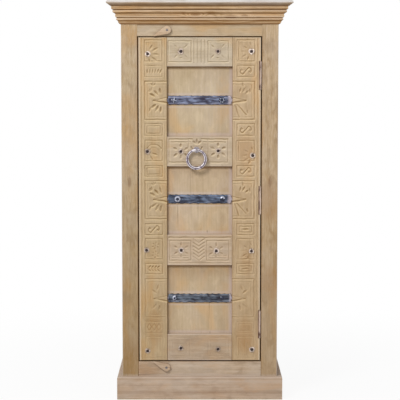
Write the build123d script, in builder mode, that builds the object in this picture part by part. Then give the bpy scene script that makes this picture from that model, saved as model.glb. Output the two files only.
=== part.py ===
from build123d import *
import os

# Trastero: a tall, narrow cupboard built round one old carved door.
# A face-framed carcass stands in a plinth and carries a mitred crown moulding under a bullnosed cap.
# The framed door hangs on three butt hinges at the right, with iron straps across its sunk panels and
# a ring pull, and two wooden turn buttons on the face frame lock it.
# Millimetres, +Z up, the front faces -Y. The origin is on the floor under the middle of the cabinet.

# --- Driving dimensions ---------------------------------------------------------------------------

# Whole cabinet
total_height = 1850.0
body_width = 722.0
body_depth = 457.0
edge_round = 1.5

# Plinth, planted round the foot of the carcass
plinth_height = 106.0
plinth_thickness = 25.0
plinth_round = 6.0

# Crown moulding: each member's projection from the carcass and its top edge above the moulding's foot
foot_projection, foot_top = 11.5, 10.0
lower_bead_projection, lower_cove_top, lower_bead_top = 18.4, 18.5, 26.5
belt_projection, belt_bottom, belt_top = 22.5, 31.5, 44.5
upper_bead_projection, upper_cove_top, upper_bead_top = 34.0, 53.0, 62.5
fascia_projection, fascia_bottom = 41.0, 68.5
crown_height = 83.0
bead_bulge = 1.8
quirk_depth = 3.5

# Cap board on top of the moulding
cap_thickness = 24.0
cap_projection = 63.5
cap_top_round = 9.0
cap_under_drop = 12.0
cap_under_run = 20.0

# Face frame round the door opening
frame_thickness = 30.0
frame_stile_width = 75.0
frieze_height = 54.5
opening_bottom = 177.0
bottom_rail_foot = 60.0
frame_tenon_length = 35.0
frame_tenon_thickness = 10.0
frame_tenon_shoulder = 15.0

# Carcass boards
side_thickness = 22.0
board_thickness = 22.0
dado_depth = 8.0
shelf_thickness = 20.0
shelf_count = 3
shelf_setback = 60.0
shelf_gap = 1.0
cleat_width = 20.0
cleat_height = 28.0
back_thickness = 12.0
back_bottom = 80.0
back_rebate = 12.0
plank_count = 5
plank_gap = 1.5
plank_lap = 8.0
lap_play = 0.4
rear_rail_thickness = 20.0
stop_width = 30.0
stop_thickness = 18.0
stop_overlap = 10.0

# Door
door_gap = 5.0
stop_gap = 1.0
stile_width = 130.0
top_rail_height = 132.0
upper_rail_height = 136.5
lower_rail_height = 142.0
bottom_rail_height = 123.0
bottom_panel_height = 326.0
middle_panel_height = 319.0
door_tenon_length = 110.0
door_tenon_thickness = 9.0
door_tenon_shoulder = 18.0

# Sunk panels, bevelled all round and held in grooves
groove_depth = 10.0
groove_width = 8.0
panel_play = 1.0
panel_back_setback = 4.0
panel_field_rise = 3.0
panel_bevel_width = 24.0

# Iron straps across the panels, their tongues let into the stiles
strap_height = 44.0
strap_thickness = 4.0
strap_end_gap = 5.0
strap_corner = 6.0
strap_rise = 6.5
tongue_height = 14.0
tongue_length = 12.0
strap_nail_insets = {"bottom": (29.5, 41.0), "middle": (43.0, 41.0), "top": (27.5, 43.5)}
strap_nail_head = 9.5
strap_nail_head_rise = 4.0
strap_nail_shank = 2.0
strap_nail_length = 9.0

# Studs that pin the door's joints: a dished washer with a round nail head
stud_washer_radius = 15.0
stud_washer_thickness = 1.6
stud_head_radius = 9.0
stud_head_rise = 6.5
stud_shank_radius = 3.0
stud_shank_length = 21.0
# Hand-set studs on each rail's line. Outer ones: inset from the door's left and right edge, each with its
# height off the rail's middle. Inner ones: the same, inset from the stiles' inner edges.
outer_studs = {
    "top": ((42.0, -9.0), (43.5, 2.5)),
    "upper": ((39.5, 0.5), (36.5, -18.0)),
    "lower": ((34.0, 0.0), (40.5, -4.5)),
    "bottom": ((37.5, -17.0), (36.5, -11.0)),
}
inner_studs = {
    "top": ((64.5, 2.5), (67.5, 2.5)),
    "upper": ((64.0, 0.5), (65.5, 3.5)),
    "lower": ((65.0, -1.0), (74.0, -3.5)),
    "bottom": ((63.0, -4.0), (65.5, -8.5)),
}

# Ring pull, hung in an eye that is riveted through the upper rail
ring_x = -15.0
ring_pivot_rise = 8.0
ring_outer_radius = 49.0
ring_wire_radius = 6.3
eye_wire_radius = 2.8
eye_clearance = 0.9
eye_stand_off = 1.0
eye_shank_radius = 3.5
rose_radius = 14.0
rose_thickness = 2.5
clench_radius = 10.0
clench_thickness = 2.0
rivet_stub = 2.0

# Butt hinges: a barrel sunk in the door's front corner, one leaf on each meeting edge
bottom_hinge_rise = 170.0
middle_hinge_rise = 1.25
top_hinge_drop = 173.5
hinge_length = 126.0
hinge_axis_inset = 2.8
hinge_axis_proud = 1.0
knuckle_count = 5
knuckle_radius = 6.0
knuckle_gap = 0.3
hinge_pin_radius = 3.0
hinge_pin_clearance = 0.05
pin_head_radius = 4.6
pin_head_height = 2.5
leaf_thickness = 2.4
leaf_depth = 20.0
notch_clearance = 0.6
leaf_screw_spacing = 45.0

# Turn buttons on the face frame, shown turned clear of the door
top_button_x, top_button_drop = -149.5, 26.0
bottom_button_x, bottom_button_drop = -155.5, 28.0
button_tilt = 24.0
button_radius = 19.0
button_reach = 68.0
button_tip_radius = 3.0
button_thickness = 10.0
button_round = 2.5
washer_radius = 8.0
washer_thickness = 2.5
button_play = 0.2

# Countersunk wood screws
leaf_screw_length, leaf_screw_radius, leaf_screw_head = 18.0, 1.8, 3.8
button_screw_length, button_screw_radius, button_screw_head = 32.0, 2.5, 5.5
screw_clearance = 0.06
head_clearance = 0.35

# --- Derived faces, shared by the pieces that meet there -------------------------------------------

half_body = body_width / 2
face_y = (cap_projection - body_depth) / 2  # front face of the frame and of the closed door
back_y = face_y + body_depth
frame_back = face_y + frame_thickness
plank_front = back_y - back_thickness
inner_x = half_body - side_thickness

cap_bottom = total_height - cap_thickness
crown_bottom = cap_bottom - crown_height
opening_top = crown_bottom - frieze_height
opening_half = half_body - frame_stile_width

door_half = opening_half - door_gap
door_bottom = opening_bottom + door_gap
door_top = opening_top - door_gap
door_back = frame_back - stop_gap
stile_inner = door_half - stile_width

# Rails and panels from the bottom up; the top panel takes what height is left
lower_rail_bottom = door_bottom + bottom_rail_height + bottom_panel_height
upper_rail_bottom = lower_rail_bottom + lower_rail_height + middle_panel_height
rail_spans = {
    "bottom": (door_bottom, door_bottom + bottom_rail_height),
    "lower": (lower_rail_bottom, lower_rail_bottom + lower_rail_height),
    "upper": (upper_rail_bottom, upper_rail_bottom + upper_rail_height),
    "top": (door_top - top_rail_height, door_top),
}
panel_spans = {
    "bottom": (rail_spans["bottom"][1], rail_spans["lower"][0]),
    "middle": (rail_spans["lower"][1], rail_spans["upper"][0]),
    "top": (rail_spans["upper"][1], rail_spans["top"][0]),
}
groove_back = door_back - panel_back_setback
groove_front = groove_back - groove_width
panel_front = groove_front - panel_field_rise
strap_front = panel_front - strap_thickness
tenon_front = (face_y + door_back - door_tenon_thickness) / 2
tenon_back = tenon_front + door_tenon_thickness

hinge_centres = (
    door_bottom + bottom_hinge_rise,
    (door_bottom + door_top) / 2 + middle_hinge_rise,
    door_top - top_hinge_drop,
)
hinge_x = door_half - hinge_axis_inset
hinge_y = face_y - hinge_axis_proud
notch_back = hinge_y + knuckle_radius + notch_clearance
leaf_back = notch_back + leaf_depth
leaf_screw_y = (notch_back + leaf_back) / 2

ring_pivot_z = sum(rail_spans["upper"]) / 2 + ring_pivot_rise
eye_hole_radius = ring_wire_radius + eye_clearance
ring_y = face_y - rose_thickness - eye_stand_off - 2 * eye_wire_radius - eye_hole_radius
eye_radius = eye_hole_radius + eye_wire_radius

button_back = face_y - washer_thickness - button_play
button_front = button_back - button_thickness
button_pivots = {
    "top": (top_button_x, crown_bottom - top_button_drop),
    "bottom": (bottom_button_x, opening_bottom - bottom_button_drop),
}

os.makedirs("parts", exist_ok=True)


def save(builder, name):
    """Label a finished piece and write it as its own STEP file."""
    builder.part.label = name
    export_step(builder.part, f"parts/{name}.step")


def board(x_span, y_span, z_span, mode=Mode.ADD):
    """Add or cut a squared board that fills the space between three pairs of faces."""
    spans = [sorted(span) for span in (x_span, y_span, z_span)]
    with Locations(tuple((low + high) / 2 for low, high in spans)):
        Box(*(high - low for low, high in spans), mode=mode)


def rod(x, z, y_start, y_end, radius, mode=Mode.ADD):
    """Add or cut a round rod along Y."""
    with Locations(Location((x, (y_start + y_end) / 2, z), (90, 0, 0))):
        Cylinder(radius, abs(y_end - y_start), mode=mode)


def turned(outline):
    """A solid turned about Z from (radius, height) points that start and end on the axis."""
    with BuildPart() as lathe:
        with BuildSketch(Plane.XZ):
            with BuildLine():
                Polyline(*outline, close=True)
            make_face()
        revolve(axis=Axis.Z)
    return lathe.part


def screw_form(length, radius, head_radius, play=0.0, head_play=0.0):
    """A countersunk screw down -Z from its flat head at z = 0 or, with play, the hole that takes it."""
    shank, head = radius + play, head_radius + head_play
    return turned([(0, 0), (head, 0), (shank, shank - head), (shank, -length - play), (0, -length - play)])


def drive(form, places, mode=Mode.ADD):
    """Add or cut copies of a screw, stud or nail form at (position, rotation) places."""
    for position, rotation in places:
        with Locations(Location(position, rotation)):
            add(form, mode=mode)


into_front = (90, 0, 0)  # turns a form that runs down -Z so that it runs into the cabinet, along +Y
into_left = (0, 90, 0)  # ... so that it runs along -X
into_right = (0, -90, 0)  # ... so that it runs along +X

leaf_screw = screw_form(leaf_screw_length, leaf_screw_radius, leaf_screw_head)
leaf_screw_hole = screw_form(
    leaf_screw_length, leaf_screw_radius, leaf_screw_head, screw_clearance, screw_clearance
)
button_screw = screw_form(button_screw_length, button_screw_radius, button_screw_head)
button_screw_hole = screw_form(
    button_screw_length, button_screw_radius, button_screw_head, screw_clearance, head_clearance
)
stud = turned(
    [
        (0, stud_head_rise),
        (stud_head_radius * 0.5, stud_head_rise * 0.88),
        (stud_head_radius * 0.85, stud_head_rise * 0.55),
        (stud_head_radius, stud_washer_thickness),
        (stud_washer_radius - stud_washer_thickness, stud_washer_thickness),
        (stud_washer_radius, 0),
        (stud_shank_radius, 0),
        (stud_shank_radius, -stud_shank_length),
        (0, -stud_shank_length),
    ]
)
stud_hole = turned(
    [
        (0, 0),
        (stud_shank_radius + screw_clearance, 0),
        (stud_shank_radius + screw_clearance, -stud_shank_length - screw_clearance),
        (0, -stud_shank_length - screw_clearance),
    ]
)
strap_nail = turned(
    [
        (0, strap_nail_head_rise),
        (strap_nail_head * 0.6, strap_nail_head_rise * 0.75),
        (strap_nail_head, 0),
        (strap_nail_shank, 0),
        (strap_nail_shank, -strap_nail_length),
        (0, -strap_nail_length),
    ]
)
strap_nail_hole = turned(
    [
        (0, 0),
        (strap_nail_shank + screw_clearance, 0),
        (strap_nail_shank + screw_clearance, -strap_nail_length - screw_clearance),
        (0, -strap_nail_length - screw_clearance),
    ]
)

stud_places = [
    ((side * (edge - inset), face_y, sum(rail_spans[row]) / 2 + rise), into_front)
    for edge, studs in ((door_half, outer_studs), (stile_inner, inner_studs))
    for row, pair in studs.items()
    for side, (inset, rise) in zip((-1, 1), pair)
]
strap_centres = {name: sum(span) / 2 + strap_rise for name, span in panel_spans.items()}
strap_half = stile_inner - strap_end_gap
strap_nail_places = [
    ((side * (strap_half - inset), strap_front, strap_centres[place]), into_front)
    for place, pair in strap_nail_insets.items()
    for side, inset in zip((-1, 1), pair)
]
leaf_screw_heights = [
    centre + step * leaf_screw_spacing for centre in hinge_centres for step in (-1, 0, 1)
]
door_leaf_places = [((door_half, leaf_screw_y, z), into_left) for z in leaf_screw_heights]
frame_leaf_places = [((opening_half, leaf_screw_y, z), into_right) for z in leaf_screw_heights]
button_screw_places = [((x, button_front, z), into_front) for x, z in button_pivots.values()]

# --- Carcass ---------------------------------------------------------------------------------------

interior_bottom = opening_bottom
interior_top = crown_bottom
shelf_back = plank_front
shelf_front = face_y + shelf_setback
shelf_step = (interior_top - interior_bottom) / (shelf_count + 1)
shelf_tops = [interior_bottom + shelf_step * (i + 1) for i in range(shelf_count)]

# Sides: full-height boards, dadoed for the top and bottom boards and rebated for the back planks
for side, name in ((-1, "side_left"), (1, "side_right")):
    with BuildPart() as side_board:
        board((side * inner_x, side * half_body), (frame_back, back_y), (0, cap_bottom))
        for low in (interior_bottom - board_thickness, interior_top):
            board(
                (side * inner_x, side * (inner_x + dado_depth)),
                (frame_back, plank_front),
                (low, low + board_thickness),
                mode=Mode.SUBTRACT,
            )
        board(
            (side * inner_x, side * (inner_x + back_rebate)),
            (plank_front, back_y),
            (back_bottom, cap_bottom),
            mode=Mode.SUBTRACT,
        )
    save(side_board, name)

# Bottom and top boards, held in the dados
for low, name in (
    (interior_bottom - board_thickness, "bottom_board"),
    (interior_top, "top_board"),
):
    with BuildPart() as carcass_board:
        half_length = inner_x + dado_depth
        board((-half_length, half_length), (frame_back, plank_front), (low, low + board_thickness))
    save(carcass_board, name)

# Shelves rest on cleats screwed to the sides
for top, name in zip(shelf_tops, ("shelf_lower", "shelf_middle", "shelf_upper")):
    with BuildPart() as shelf:
        half_length = inner_x - shelf_gap
        board((-half_length, half_length), (shelf_front, shelf_back), (top - shelf_thickness, top))
        front_edges = shelf.edges().filter_by(Axis.X).sort_by(Axis.Y)[:2]
        fillet(front_edges, edge_round)
    save(shelf, name)

with BuildPart() as shelf_cleats:
    for top in shelf_tops:
        for side in (-1, 1):
            cleat_top = top - shelf_thickness
            board(
                (side * (inner_x - cleat_width), side * inner_x),
                (shelf_front + cleat_width, shelf_back),
                (cleat_top - cleat_height, cleat_top),
            )
save(shelf_cleats, "shelf_cleats")

# Back: half-lapped vertical planks with a shrinkage gap beside each and a little play in the laps
back_half = inner_x + back_rebate - plank_gap / 2
plank_pitch = (2 * back_half + plank_gap) / plank_count
lap_front = back_y - back_thickness / 2 - lap_play / 2
lap_rear = lap_front + lap_play


def plank_outline(i):
    """Corners of one plank in plan: a tongue behind its right-hand neighbour, a rabbet at its left."""
    left = -back_half + i * plank_pitch
    right = left + plank_pitch - plank_gap
    corners = [(left, plank_front), (right, plank_front)]
    if i < plank_count - 1:
        corners += [(right, lap_rear), (right + plank_lap, lap_rear), (right + plank_lap, back_y)]
    else:
        corners += [(right, back_y)]
    if i > 0:
        corners += [(left + plank_lap, back_y), (left + plank_lap, lap_front), (left, lap_front)]
    else:
        corners += [(left, back_y)]
    return corners


with BuildPart() as back_planks:
    with BuildSketch(Plane.XY.offset(back_bottom)):
        for i in range(plank_count):
            with BuildLine():
                Polyline(*plank_outline(i), close=True)
            make_face()
    extrude(amount=cap_bottom - back_bottom)
save(back_planks, "back_planks")

with BuildPart() as rear_rail:
    board((-inner_x, inner_x), (back_y - rear_rail_thickness, back_y), (0, back_bottom))
save(rear_rail, "rear_rail")

# --- Face frame ------------------------------------------------------------------------------------

frame_rail_spans = {
    "frame_rail_bottom": (bottom_rail_foot, opening_bottom),
    "frame_rail_top": (opening_top, cap_bottom),
}
frame_tenon_front = face_y + (frame_thickness - frame_tenon_thickness) / 2
frame_tenon_y = (frame_tenon_front, frame_tenon_front + frame_tenon_thickness)

# Stiles run from the floor to the cap, mortised for the rails; the right one takes the hinges
for side, name in ((-1, "frame_stile_left"), (1, "frame_stile_right")):
    with BuildPart() as frame_stile:
        board((side * opening_half, side * half_body), (face_y, frame_back), (0, cap_bottom))
        front_edges = frame_stile.edges().filter_by(Axis.Z).group_by(Axis.Y)[0]
        fillet(front_edges, edge_round)
        for low, high in frame_rail_spans.values():
            board(
                (side * opening_half, side * (opening_half + frame_tenon_length)),
                frame_tenon_y,
                (low + frame_tenon_shoulder, high - frame_tenon_shoulder),
                mode=Mode.SUBTRACT,
            )
        if side > 0:
            for centre in hinge_centres:
                board(
                    (opening_half, opening_half + leaf_thickness),
                    (hinge_y + knuckle_radius - leaf_thickness, leaf_back),
                    (centre - hinge_length / 2, centre + hinge_length / 2),
                    mode=Mode.SUBTRACT,
                )
            drive(leaf_screw_hole, frame_leaf_places, mode=Mode.SUBTRACT)
    save(frame_stile, name)

# Rails are tenoned into the stiles; the top one carries on up behind the crown moulding
for (name, (low, high)), own_screw in zip(frame_rail_spans.items(), reversed(button_screw_places)):
    with BuildPart() as frame_rail:
        board((-opening_half, opening_half), (face_y, frame_back), (low, high))
        front_edges = frame_rail.edges().filter_by(Axis.X).group_by(Axis.Y)[0].sort_by(Axis.Z)
        fillet(front_edges[0 if low == opening_top else -1], edge_round)
        for side in (-1, 1):
            board(
                (side * (opening_half - 1), side * (opening_half + frame_tenon_length)),
                frame_tenon_y,
                (low + frame_tenon_shoulder, high - frame_tenon_shoulder),
            )
        drive(button_screw_hole, [own_screw], mode=Mode.SUBTRACT)
    save(frame_rail, name)

# Door stops, planted on the back of the frame at the top and at the free edge of the door
stop_inner = door_half - stop_overlap
stop_low = door_top - stop_overlap
stop_y = (frame_back, frame_back + stop_thickness)
with BuildPart() as door_stops:
    board((-stop_inner - stop_width, -stop_inner), stop_y, (interior_bottom, stop_low - shelf_gap))
    board((-stop_inner, stop_inner), stop_y, (stop_low, stop_low + stop_width))
save(door_stops, "door_stops")

# --- Plinth ----------------------------------------------------------------------------------------


def mitre(side):
    """Upright plane that halves a front corner, with its normal towards the front piece."""
    return Plane(origin=(side * half_body, face_y, 0), z_dir=(-side, -1, 0))


plinth_half = half_body + plinth_thickness
with BuildPart() as plinth_front:
    board((-plinth_half, plinth_half), (face_y - plinth_thickness, face_y), (0, plinth_height))
    fillet(plinth_front.edges().filter_by(Axis.X).group_by(Axis.Y)[0].sort_by(Axis.Z)[-1], plinth_round)
    split(bisect_by=mitre(-1), keep=Keep.TOP)
    split(bisect_by=mitre(1), keep=Keep.TOP)
save(plinth_front, "plinth_front")

for side, name in ((-1, "plinth_left"), (1, "plinth_right")):
    with BuildPart() as plinth_side:
        board((side * half_body, side * plinth_half), (face_y - plinth_thickness, back_y), (0, plinth_height))
        outer_edges = plinth_side.edges().filter_by(Axis.Y).group_by(Axis.X)[0 if side < 0 else -1]
        fillet(outer_edges.sort_by(Axis.Z)[-1], plinth_round)
        split(bisect_by=mitre(side), keep=Keep.BOTTOM)
    save(plinth_side, name)

# --- Cornice ---------------------------------------------------------------------------------------


def bow(start, end, bulge):
    """An arc between two profile points that stands out by bulge, or sinks in if it is negative."""
    run, rise = end[0] - start[0], end[1] - start[1]
    chord = (run**2 + rise**2) ** 0.5
    middle = ((start[0] + end[0]) / 2, (start[1] + end[1]) / 2)
    ThreePointArc(start, (middle[0] + bulge * rise / chord, middle[1] - bulge * run / chord), end)


# Section of the moulding: x is the projection from the carcass, y the height above its foot
cove_hollow = -bead_bulge
lower_quirk = lower_bead_projection - quirk_depth
upper_quirk = upper_bead_projection - quirk_depth
with BuildSketch() as crown_section:
    with BuildLine():
        Line((0, 0), (bead_bulge, 0))
        bow((bead_bulge, 0), (foot_projection, foot_top), bead_bulge)
        bow((foot_projection, foot_top), (lower_bead_projection, lower_cove_top), cove_hollow)
        bow(
            (lower_bead_projection, lower_cove_top),
            (lower_bead_projection, lower_bead_top),
            bead_bulge,
        )
        Polyline(
            (lower_bead_projection, lower_bead_top),
            (lower_quirk, lower_bead_top),
            (lower_quirk, belt_bottom),
            (belt_projection, belt_bottom),
        )
        bow((belt_projection, belt_bottom), (belt_projection, belt_top), bead_bulge)
        bow((belt_projection, belt_top), (upper_bead_projection, upper_cove_top), cove_hollow)
        bow(
            (upper_bead_projection, upper_cove_top),
            (upper_bead_projection, upper_bead_top),
            bead_bulge,
        )
        Polyline(
            (upper_bead_projection, upper_bead_top),
            (upper_quirk, upper_bead_top),
            (upper_quirk, fascia_bottom),
            (fascia_projection, fascia_bottom),
            (fascia_projection, crown_height),
            (0, crown_height),
            (0, 0),
        )
    make_face()

crown_half = half_body + fascia_projection
with BuildPart() as cornice_front:
    front_end = Plane(origin=(crown_half, face_y, crown_bottom), x_dir=(0, -1, 0), z_dir=(-1, 0, 0))
    with BuildSketch(front_end):
        add(crown_section.sketch)
    extrude(amount=2 * crown_half)
    split(bisect_by=mitre(-1), keep=Keep.TOP)
    split(bisect_by=mitre(1), keep=Keep.TOP)
save(cornice_front, "cornice_front")

crown_run = body_depth + fascia_projection
for side, name, start_y in (
    (-1, "cornice_left", face_y - fascia_projection),
    (1, "cornice_right", back_y),
):
    with BuildPart() as cornice_side:
        side_end = Plane(
            origin=(side * half_body, start_y, crown_bottom), x_dir=(side, 0, 0), z_dir=(0, -side, 0)
        )
        with BuildSketch(side_end):
            add(crown_section.sketch)
        extrude(amount=crown_run)
        split(bisect_by=mitre(side), keep=Keep.BOTTOM)
    save(cornice_side, name)

# Cap board, bullnosed along the front and both ends and thinned towards its under edge
cap_half = half_body + cap_projection
with BuildPart() as cornice_cap:
    board((-cap_half, cap_half), (face_y - cap_projection, back_y), (cap_bottom, total_height))
    under_face = cornice_cap.faces().sort_by(Axis.Z)[0]
    under_edges = under_face.edges() - under_face.edges().sort_by(Axis.Y)[-1:]
    chamfer(under_edges, cap_under_run, cap_under_drop, reference=under_face)
    top_edges = cornice_cap.faces().sort_by(Axis.Z)[-1].edges()
    fillet(top_edges - top_edges.sort_by(Axis.Y)[-1:], cap_top_round)
save(cornice_cap, "cornice_cap")

# --- Door ------------------------------------------------------------------------------------------

# Stiles: grooved for the panels, mortised for the rails, pocketed for the straps' tongues
for side, name in ((-1, "door_stile_left"), (1, "door_stile_right")):
    with BuildPart() as door_stile:
        board((side * stile_inner, side * door_half), (face_y, door_back), (door_bottom, door_top))
        fillet(door_stile.edges().filter_by(Axis.Z).group_by(Axis.Y)[0], edge_round)
        for low, high in panel_spans.values():
            board(
                (side * stile_inner, side * (stile_inner + groove_depth)),
                (groove_front, groove_back),
                (low - groove_depth, high + groove_depth),
                mode=Mode.SUBTRACT,
            )
        for low, high in rail_spans.values():
            board(
                (side * stile_inner, side * (stile_inner + door_tenon_length)),
                (tenon_front, tenon_back),
                (low + door_tenon_shoulder, high - door_tenon_shoulder),
                mode=Mode.SUBTRACT,
            )
        for centre in strap_centres.values():
            board(
                (side * stile_inner, side * (stile_inner + tongue_length)),
                (strap_front, panel_front),
                (centre - tongue_height / 2, centre + tongue_height / 2),
                mode=Mode.SUBTRACT,
            )
        stile_studs = [place for place in stud_places if side * place[0][0] > stile_inner]
        drive(stud_hole, stile_studs, mode=Mode.SUBTRACT)
        if side > 0:
            notch_margin = hinge_length / 2 + pin_head_height + notch_clearance
            for centre in hinge_centres:
                board(
                    (hinge_x - knuckle_radius - notch_clearance, door_half),
                    (face_y, notch_back),
                    (centre - notch_margin, centre + notch_margin),
                    mode=Mode.SUBTRACT,
                )
                board(
                    (door_half - leaf_thickness, door_half),
                    (notch_back, leaf_back),
                    (centre - hinge_length / 2, centre + hinge_length / 2),
                    mode=Mode.SUBTRACT,
                )
            drive(leaf_screw_hole, door_leaf_places, mode=Mode.SUBTRACT)
    save(door_stile, name)

# Rails: tenoned at both ends, grooved on each edge that meets a panel
for row, (low, high) in rail_spans.items():
    with BuildPart() as door_rail:
        board((-stile_inner, stile_inner), (face_y, door_back), (low, high))
        fillet(door_rail.edges().filter_by(Axis.X).group_by(Axis.Y)[0], edge_round)
        for side in (-1, 1):
            board(
                (side * (stile_inner - 1), side * (stile_inner + door_tenon_length)),
                (tenon_front, tenon_back),
                (low + door_tenon_shoulder, high - door_tenon_shoulder),
            )
        if row != "bottom":
            board(
                (-stile_inner, stile_inner),
                (groove_front, groove_back),
                (low, low + groove_depth),
                mode=Mode.SUBTRACT,
            )
        if row != "top":
            board(
                (-stile_inner, stile_inner),
                (groove_front, groove_back),
                (high - groove_depth, high),
                mode=Mode.SUBTRACT,
            )
        rail_studs = [place for place in stud_places if low < place[0][2] < high]
        drive(stud_hole, rail_studs, mode=Mode.SUBTRACT)
        if row == "upper":
            rod(ring_x, ring_pivot_z, face_y, door_back, eye_shank_radius, mode=Mode.SUBTRACT)
    save(door_rail, f"door_rail_{row}")

# Panels: a flat field inside a bevel that runs down to the frame, with an edge that fills the grooves
for place, (low, high) in panel_spans.items():
    middle = (low + high) / 2
    with BuildPart() as door_panel:
        reach = groove_depth - panel_play
        panel_half = stile_inner + reach
        board((-panel_half, panel_half), (groove_front, groove_back), (low - reach, high + reach))
        with BuildSketch(Plane(origin=(0, groove_front, middle), x_dir=(1, 0, 0), z_dir=(0, -1, 0))):
            Rectangle(2 * stile_inner, high - low)
        with BuildSketch(Plane(origin=(0, panel_front, middle), x_dir=(1, 0, 0), z_dir=(0, -1, 0))):
            Rectangle(2 * (stile_inner - panel_bevel_width), high - low - 2 * panel_bevel_width)
        loft()
        panel_nails = [nail for nail in strap_nail_places if low < nail[0][2] < high]
        drive(strap_nail_hole, panel_nails, mode=Mode.SUBTRACT)
    save(door_panel, f"door_panel_{place}")

# Straps: forged flat bars that lie on the panels and end in tongues let into the stiles
for place, centre in strap_centres.items():
    with BuildPart() as strap:
        with BuildSketch(Plane(origin=(0, panel_front, centre), x_dir=(1, 0, 0), z_dir=(0, -1, 0))):
            RectangleRounded(2 * strap_half, strap_height, strap_corner)
            Rectangle(2 * (stile_inner + tongue_length), tongue_height)
        extrude(amount=strap_thickness)
        own_nails = [nail for nail in strap_nail_places if nail[0][2] == centre]
        drive(strap_nail_hole, own_nails, mode=Mode.SUBTRACT)
    save(strap, f"strap_{place}")

with BuildPart() as strap_nail_set:
    drive(strap_nail, strap_nail_places)
save(strap_nail_set, "strap_nails")

with BuildPart() as stud_set:
    drive(stud, stud_places)
save(stud_set, "door_studs")

# --- Ring pull -------------------------------------------------------------------------------------

# Rose: a shallow dished washer behind the eye
with BuildPart() as ring_rose:
    rod(ring_x, ring_pivot_z, face_y - rose_thickness, face_y, rose_radius)
    chamfer(ring_rose.edges().group_by(Axis.Y)[0], rose_thickness / 2)
    rod(ring_x, ring_pivot_z, face_y - rose_thickness, face_y, eye_shank_radius, mode=Mode.SUBTRACT)
save(ring_rose, "ring_rose")

# Eye: a loop on a shank that passes through the rail and is riveted over the clench plate
clench_back = door_back + clench_thickness
with BuildPart() as ring_eye:
    with Locations(Location((ring_x, ring_y, ring_pivot_z), (0, 90, 0))):
        Torus(eye_radius, eye_wire_radius)
    rod(ring_x, ring_pivot_z, ring_y + eye_radius, clench_back + rivet_stub, eye_shank_radius)
save(ring_eye, "ring_eye")

with BuildPart() as clench_plate:
    rod(ring_x, ring_pivot_z, door_back, clench_back, clench_radius)
    rod(ring_x, ring_pivot_z, door_back, clench_back, eye_shank_radius, mode=Mode.SUBTRACT)
save(clench_plate, "ring_clench_plate")

# Ring: round bar, hung through the eye
ring_radius = ring_outer_radius - ring_wire_radius
with BuildPart() as ring_pull:
    with Locations(Location((ring_x, ring_y, ring_pivot_z - ring_radius), (90, 0, 0))):
        Torus(ring_radius, ring_wire_radius)
save(ring_pull, "ring_pull")

# --- Hinges ----------------------------------------------------------------------------------------

knuckle_pitch = (hinge_length + knuckle_gap) / knuckle_count
pin_hole_radius = hinge_pin_radius + hinge_pin_clearance
frame_leaf_y = (hinge_y + knuckle_radius - leaf_thickness, hinge_y + knuckle_radius)


def barrel(z_span, radius, mode=Mode.ADD):
    """Add or cut a round length of the hinge's barrel."""
    low, high = z_span
    with Locations((hinge_x, hinge_y, (low + high) / 2)):
        Cylinder(radius, high - low, mode=mode)


for place, centre in zip(("bottom", "middle", "top"), hinge_centres):
    hinge_span = (centre - hinge_length / 2, centre + hinge_length / 2)
    low, high = hinge_span
    knuckle_spans = [
        (low + i * knuckle_pitch, low + (i + 1) * knuckle_pitch - knuckle_gap)
        for i in range(knuckle_count)
    ]

    # Frame leaf: crosses the gap from its knuckles and turns back along the frame's edge
    with BuildPart() as frame_leaf:
        for span in knuckle_spans[0::2]:
            barrel(span, knuckle_radius)
            board((hinge_x, opening_half + leaf_thickness), frame_leaf_y, span)
        board(
            (opening_half, opening_half + leaf_thickness),
            (frame_leaf_y[0], leaf_back),
            hinge_span,
        )
        barrel(hinge_span, pin_hole_radius, mode=Mode.SUBTRACT)
        own_screws = [screw for screw in frame_leaf_places if low < screw[0][2] < high]
        drive(leaf_screw_hole, own_screws, mode=Mode.SUBTRACT)
    save(frame_leaf, f"hinge_{place}_frame_leaf")

    # Door leaf: let into the door's edge, with a neck up to each of its knuckles
    with BuildPart() as door_leaf:
        for span in knuckle_spans[1::2]:
            barrel(span, knuckle_radius)
            neck_front = hinge_y + (hinge_pin_radius + knuckle_radius) / 2
            board((door_half - leaf_thickness, door_half), (neck_front, notch_back), span)
        board((door_half - leaf_thickness, door_half), (notch_back, leaf_back), hinge_span)
        barrel(hinge_span, pin_hole_radius, mode=Mode.SUBTRACT)
        own_screws = [screw for screw in door_leaf_places if low < screw[0][2] < high]
        drive(leaf_screw_hole, own_screws, mode=Mode.SUBTRACT)
    save(door_leaf, f"hinge_{place}_door_leaf")

    # Pin: loose in the barrel, with a button head on each end
    with BuildPart() as hinge_pin:
        barrel(hinge_span, hinge_pin_radius)
        barrel((low - pin_head_height, low), pin_head_radius)
        barrel((high, high + pin_head_height), pin_head_radius)
        rims = hinge_pin.edges().filter_by(GeomType.CIRCLE).group_by(Axis.Z)
        chamfer(rims[0] + rims[-1], pin_head_height / 3)
    save(hinge_pin, f"hinge_{place}_pin")

for name, places in (
    ("hinge_frame_screws", frame_leaf_places),
    ("hinge_door_screws", door_leaf_places),
):
    with BuildPart() as screw_set:
        drive(leaf_screw, places)
    save(screw_set, name)

# --- Turn buttons ----------------------------------------------------------------------------------

# Each is a drop-shaped block on a screw and a washer, turned to the left until its tip clears the door
for (place, (pivot_x, pivot_z)), own_screw in zip(button_pivots.items(), button_screw_places):
    towards_door = -1 if pivot_z > door_top else 1
    pointing = Vector(-1, 0, 0).rotate(Axis.Y, towards_door * button_tilt)
    with BuildPart() as turn_button:
        with BuildSketch(Plane(origin=(pivot_x, button_back, pivot_z), x_dir=pointing, z_dir=(0, -1, 0))):
            with BuildLine():
                CenterArc((0, 0), button_radius, 0, 360)
                CenterArc((button_reach - button_tip_radius, 0), button_tip_radius, 0, 360)
            make_hull()
        extrude(amount=button_thickness)
        fillet(turn_button.edges().group_by(Axis.Y)[0], button_round)
        drive(button_screw_hole, [own_screw], mode=Mode.SUBTRACT)
    save(turn_button, f"turn_button_{place}")

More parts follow.
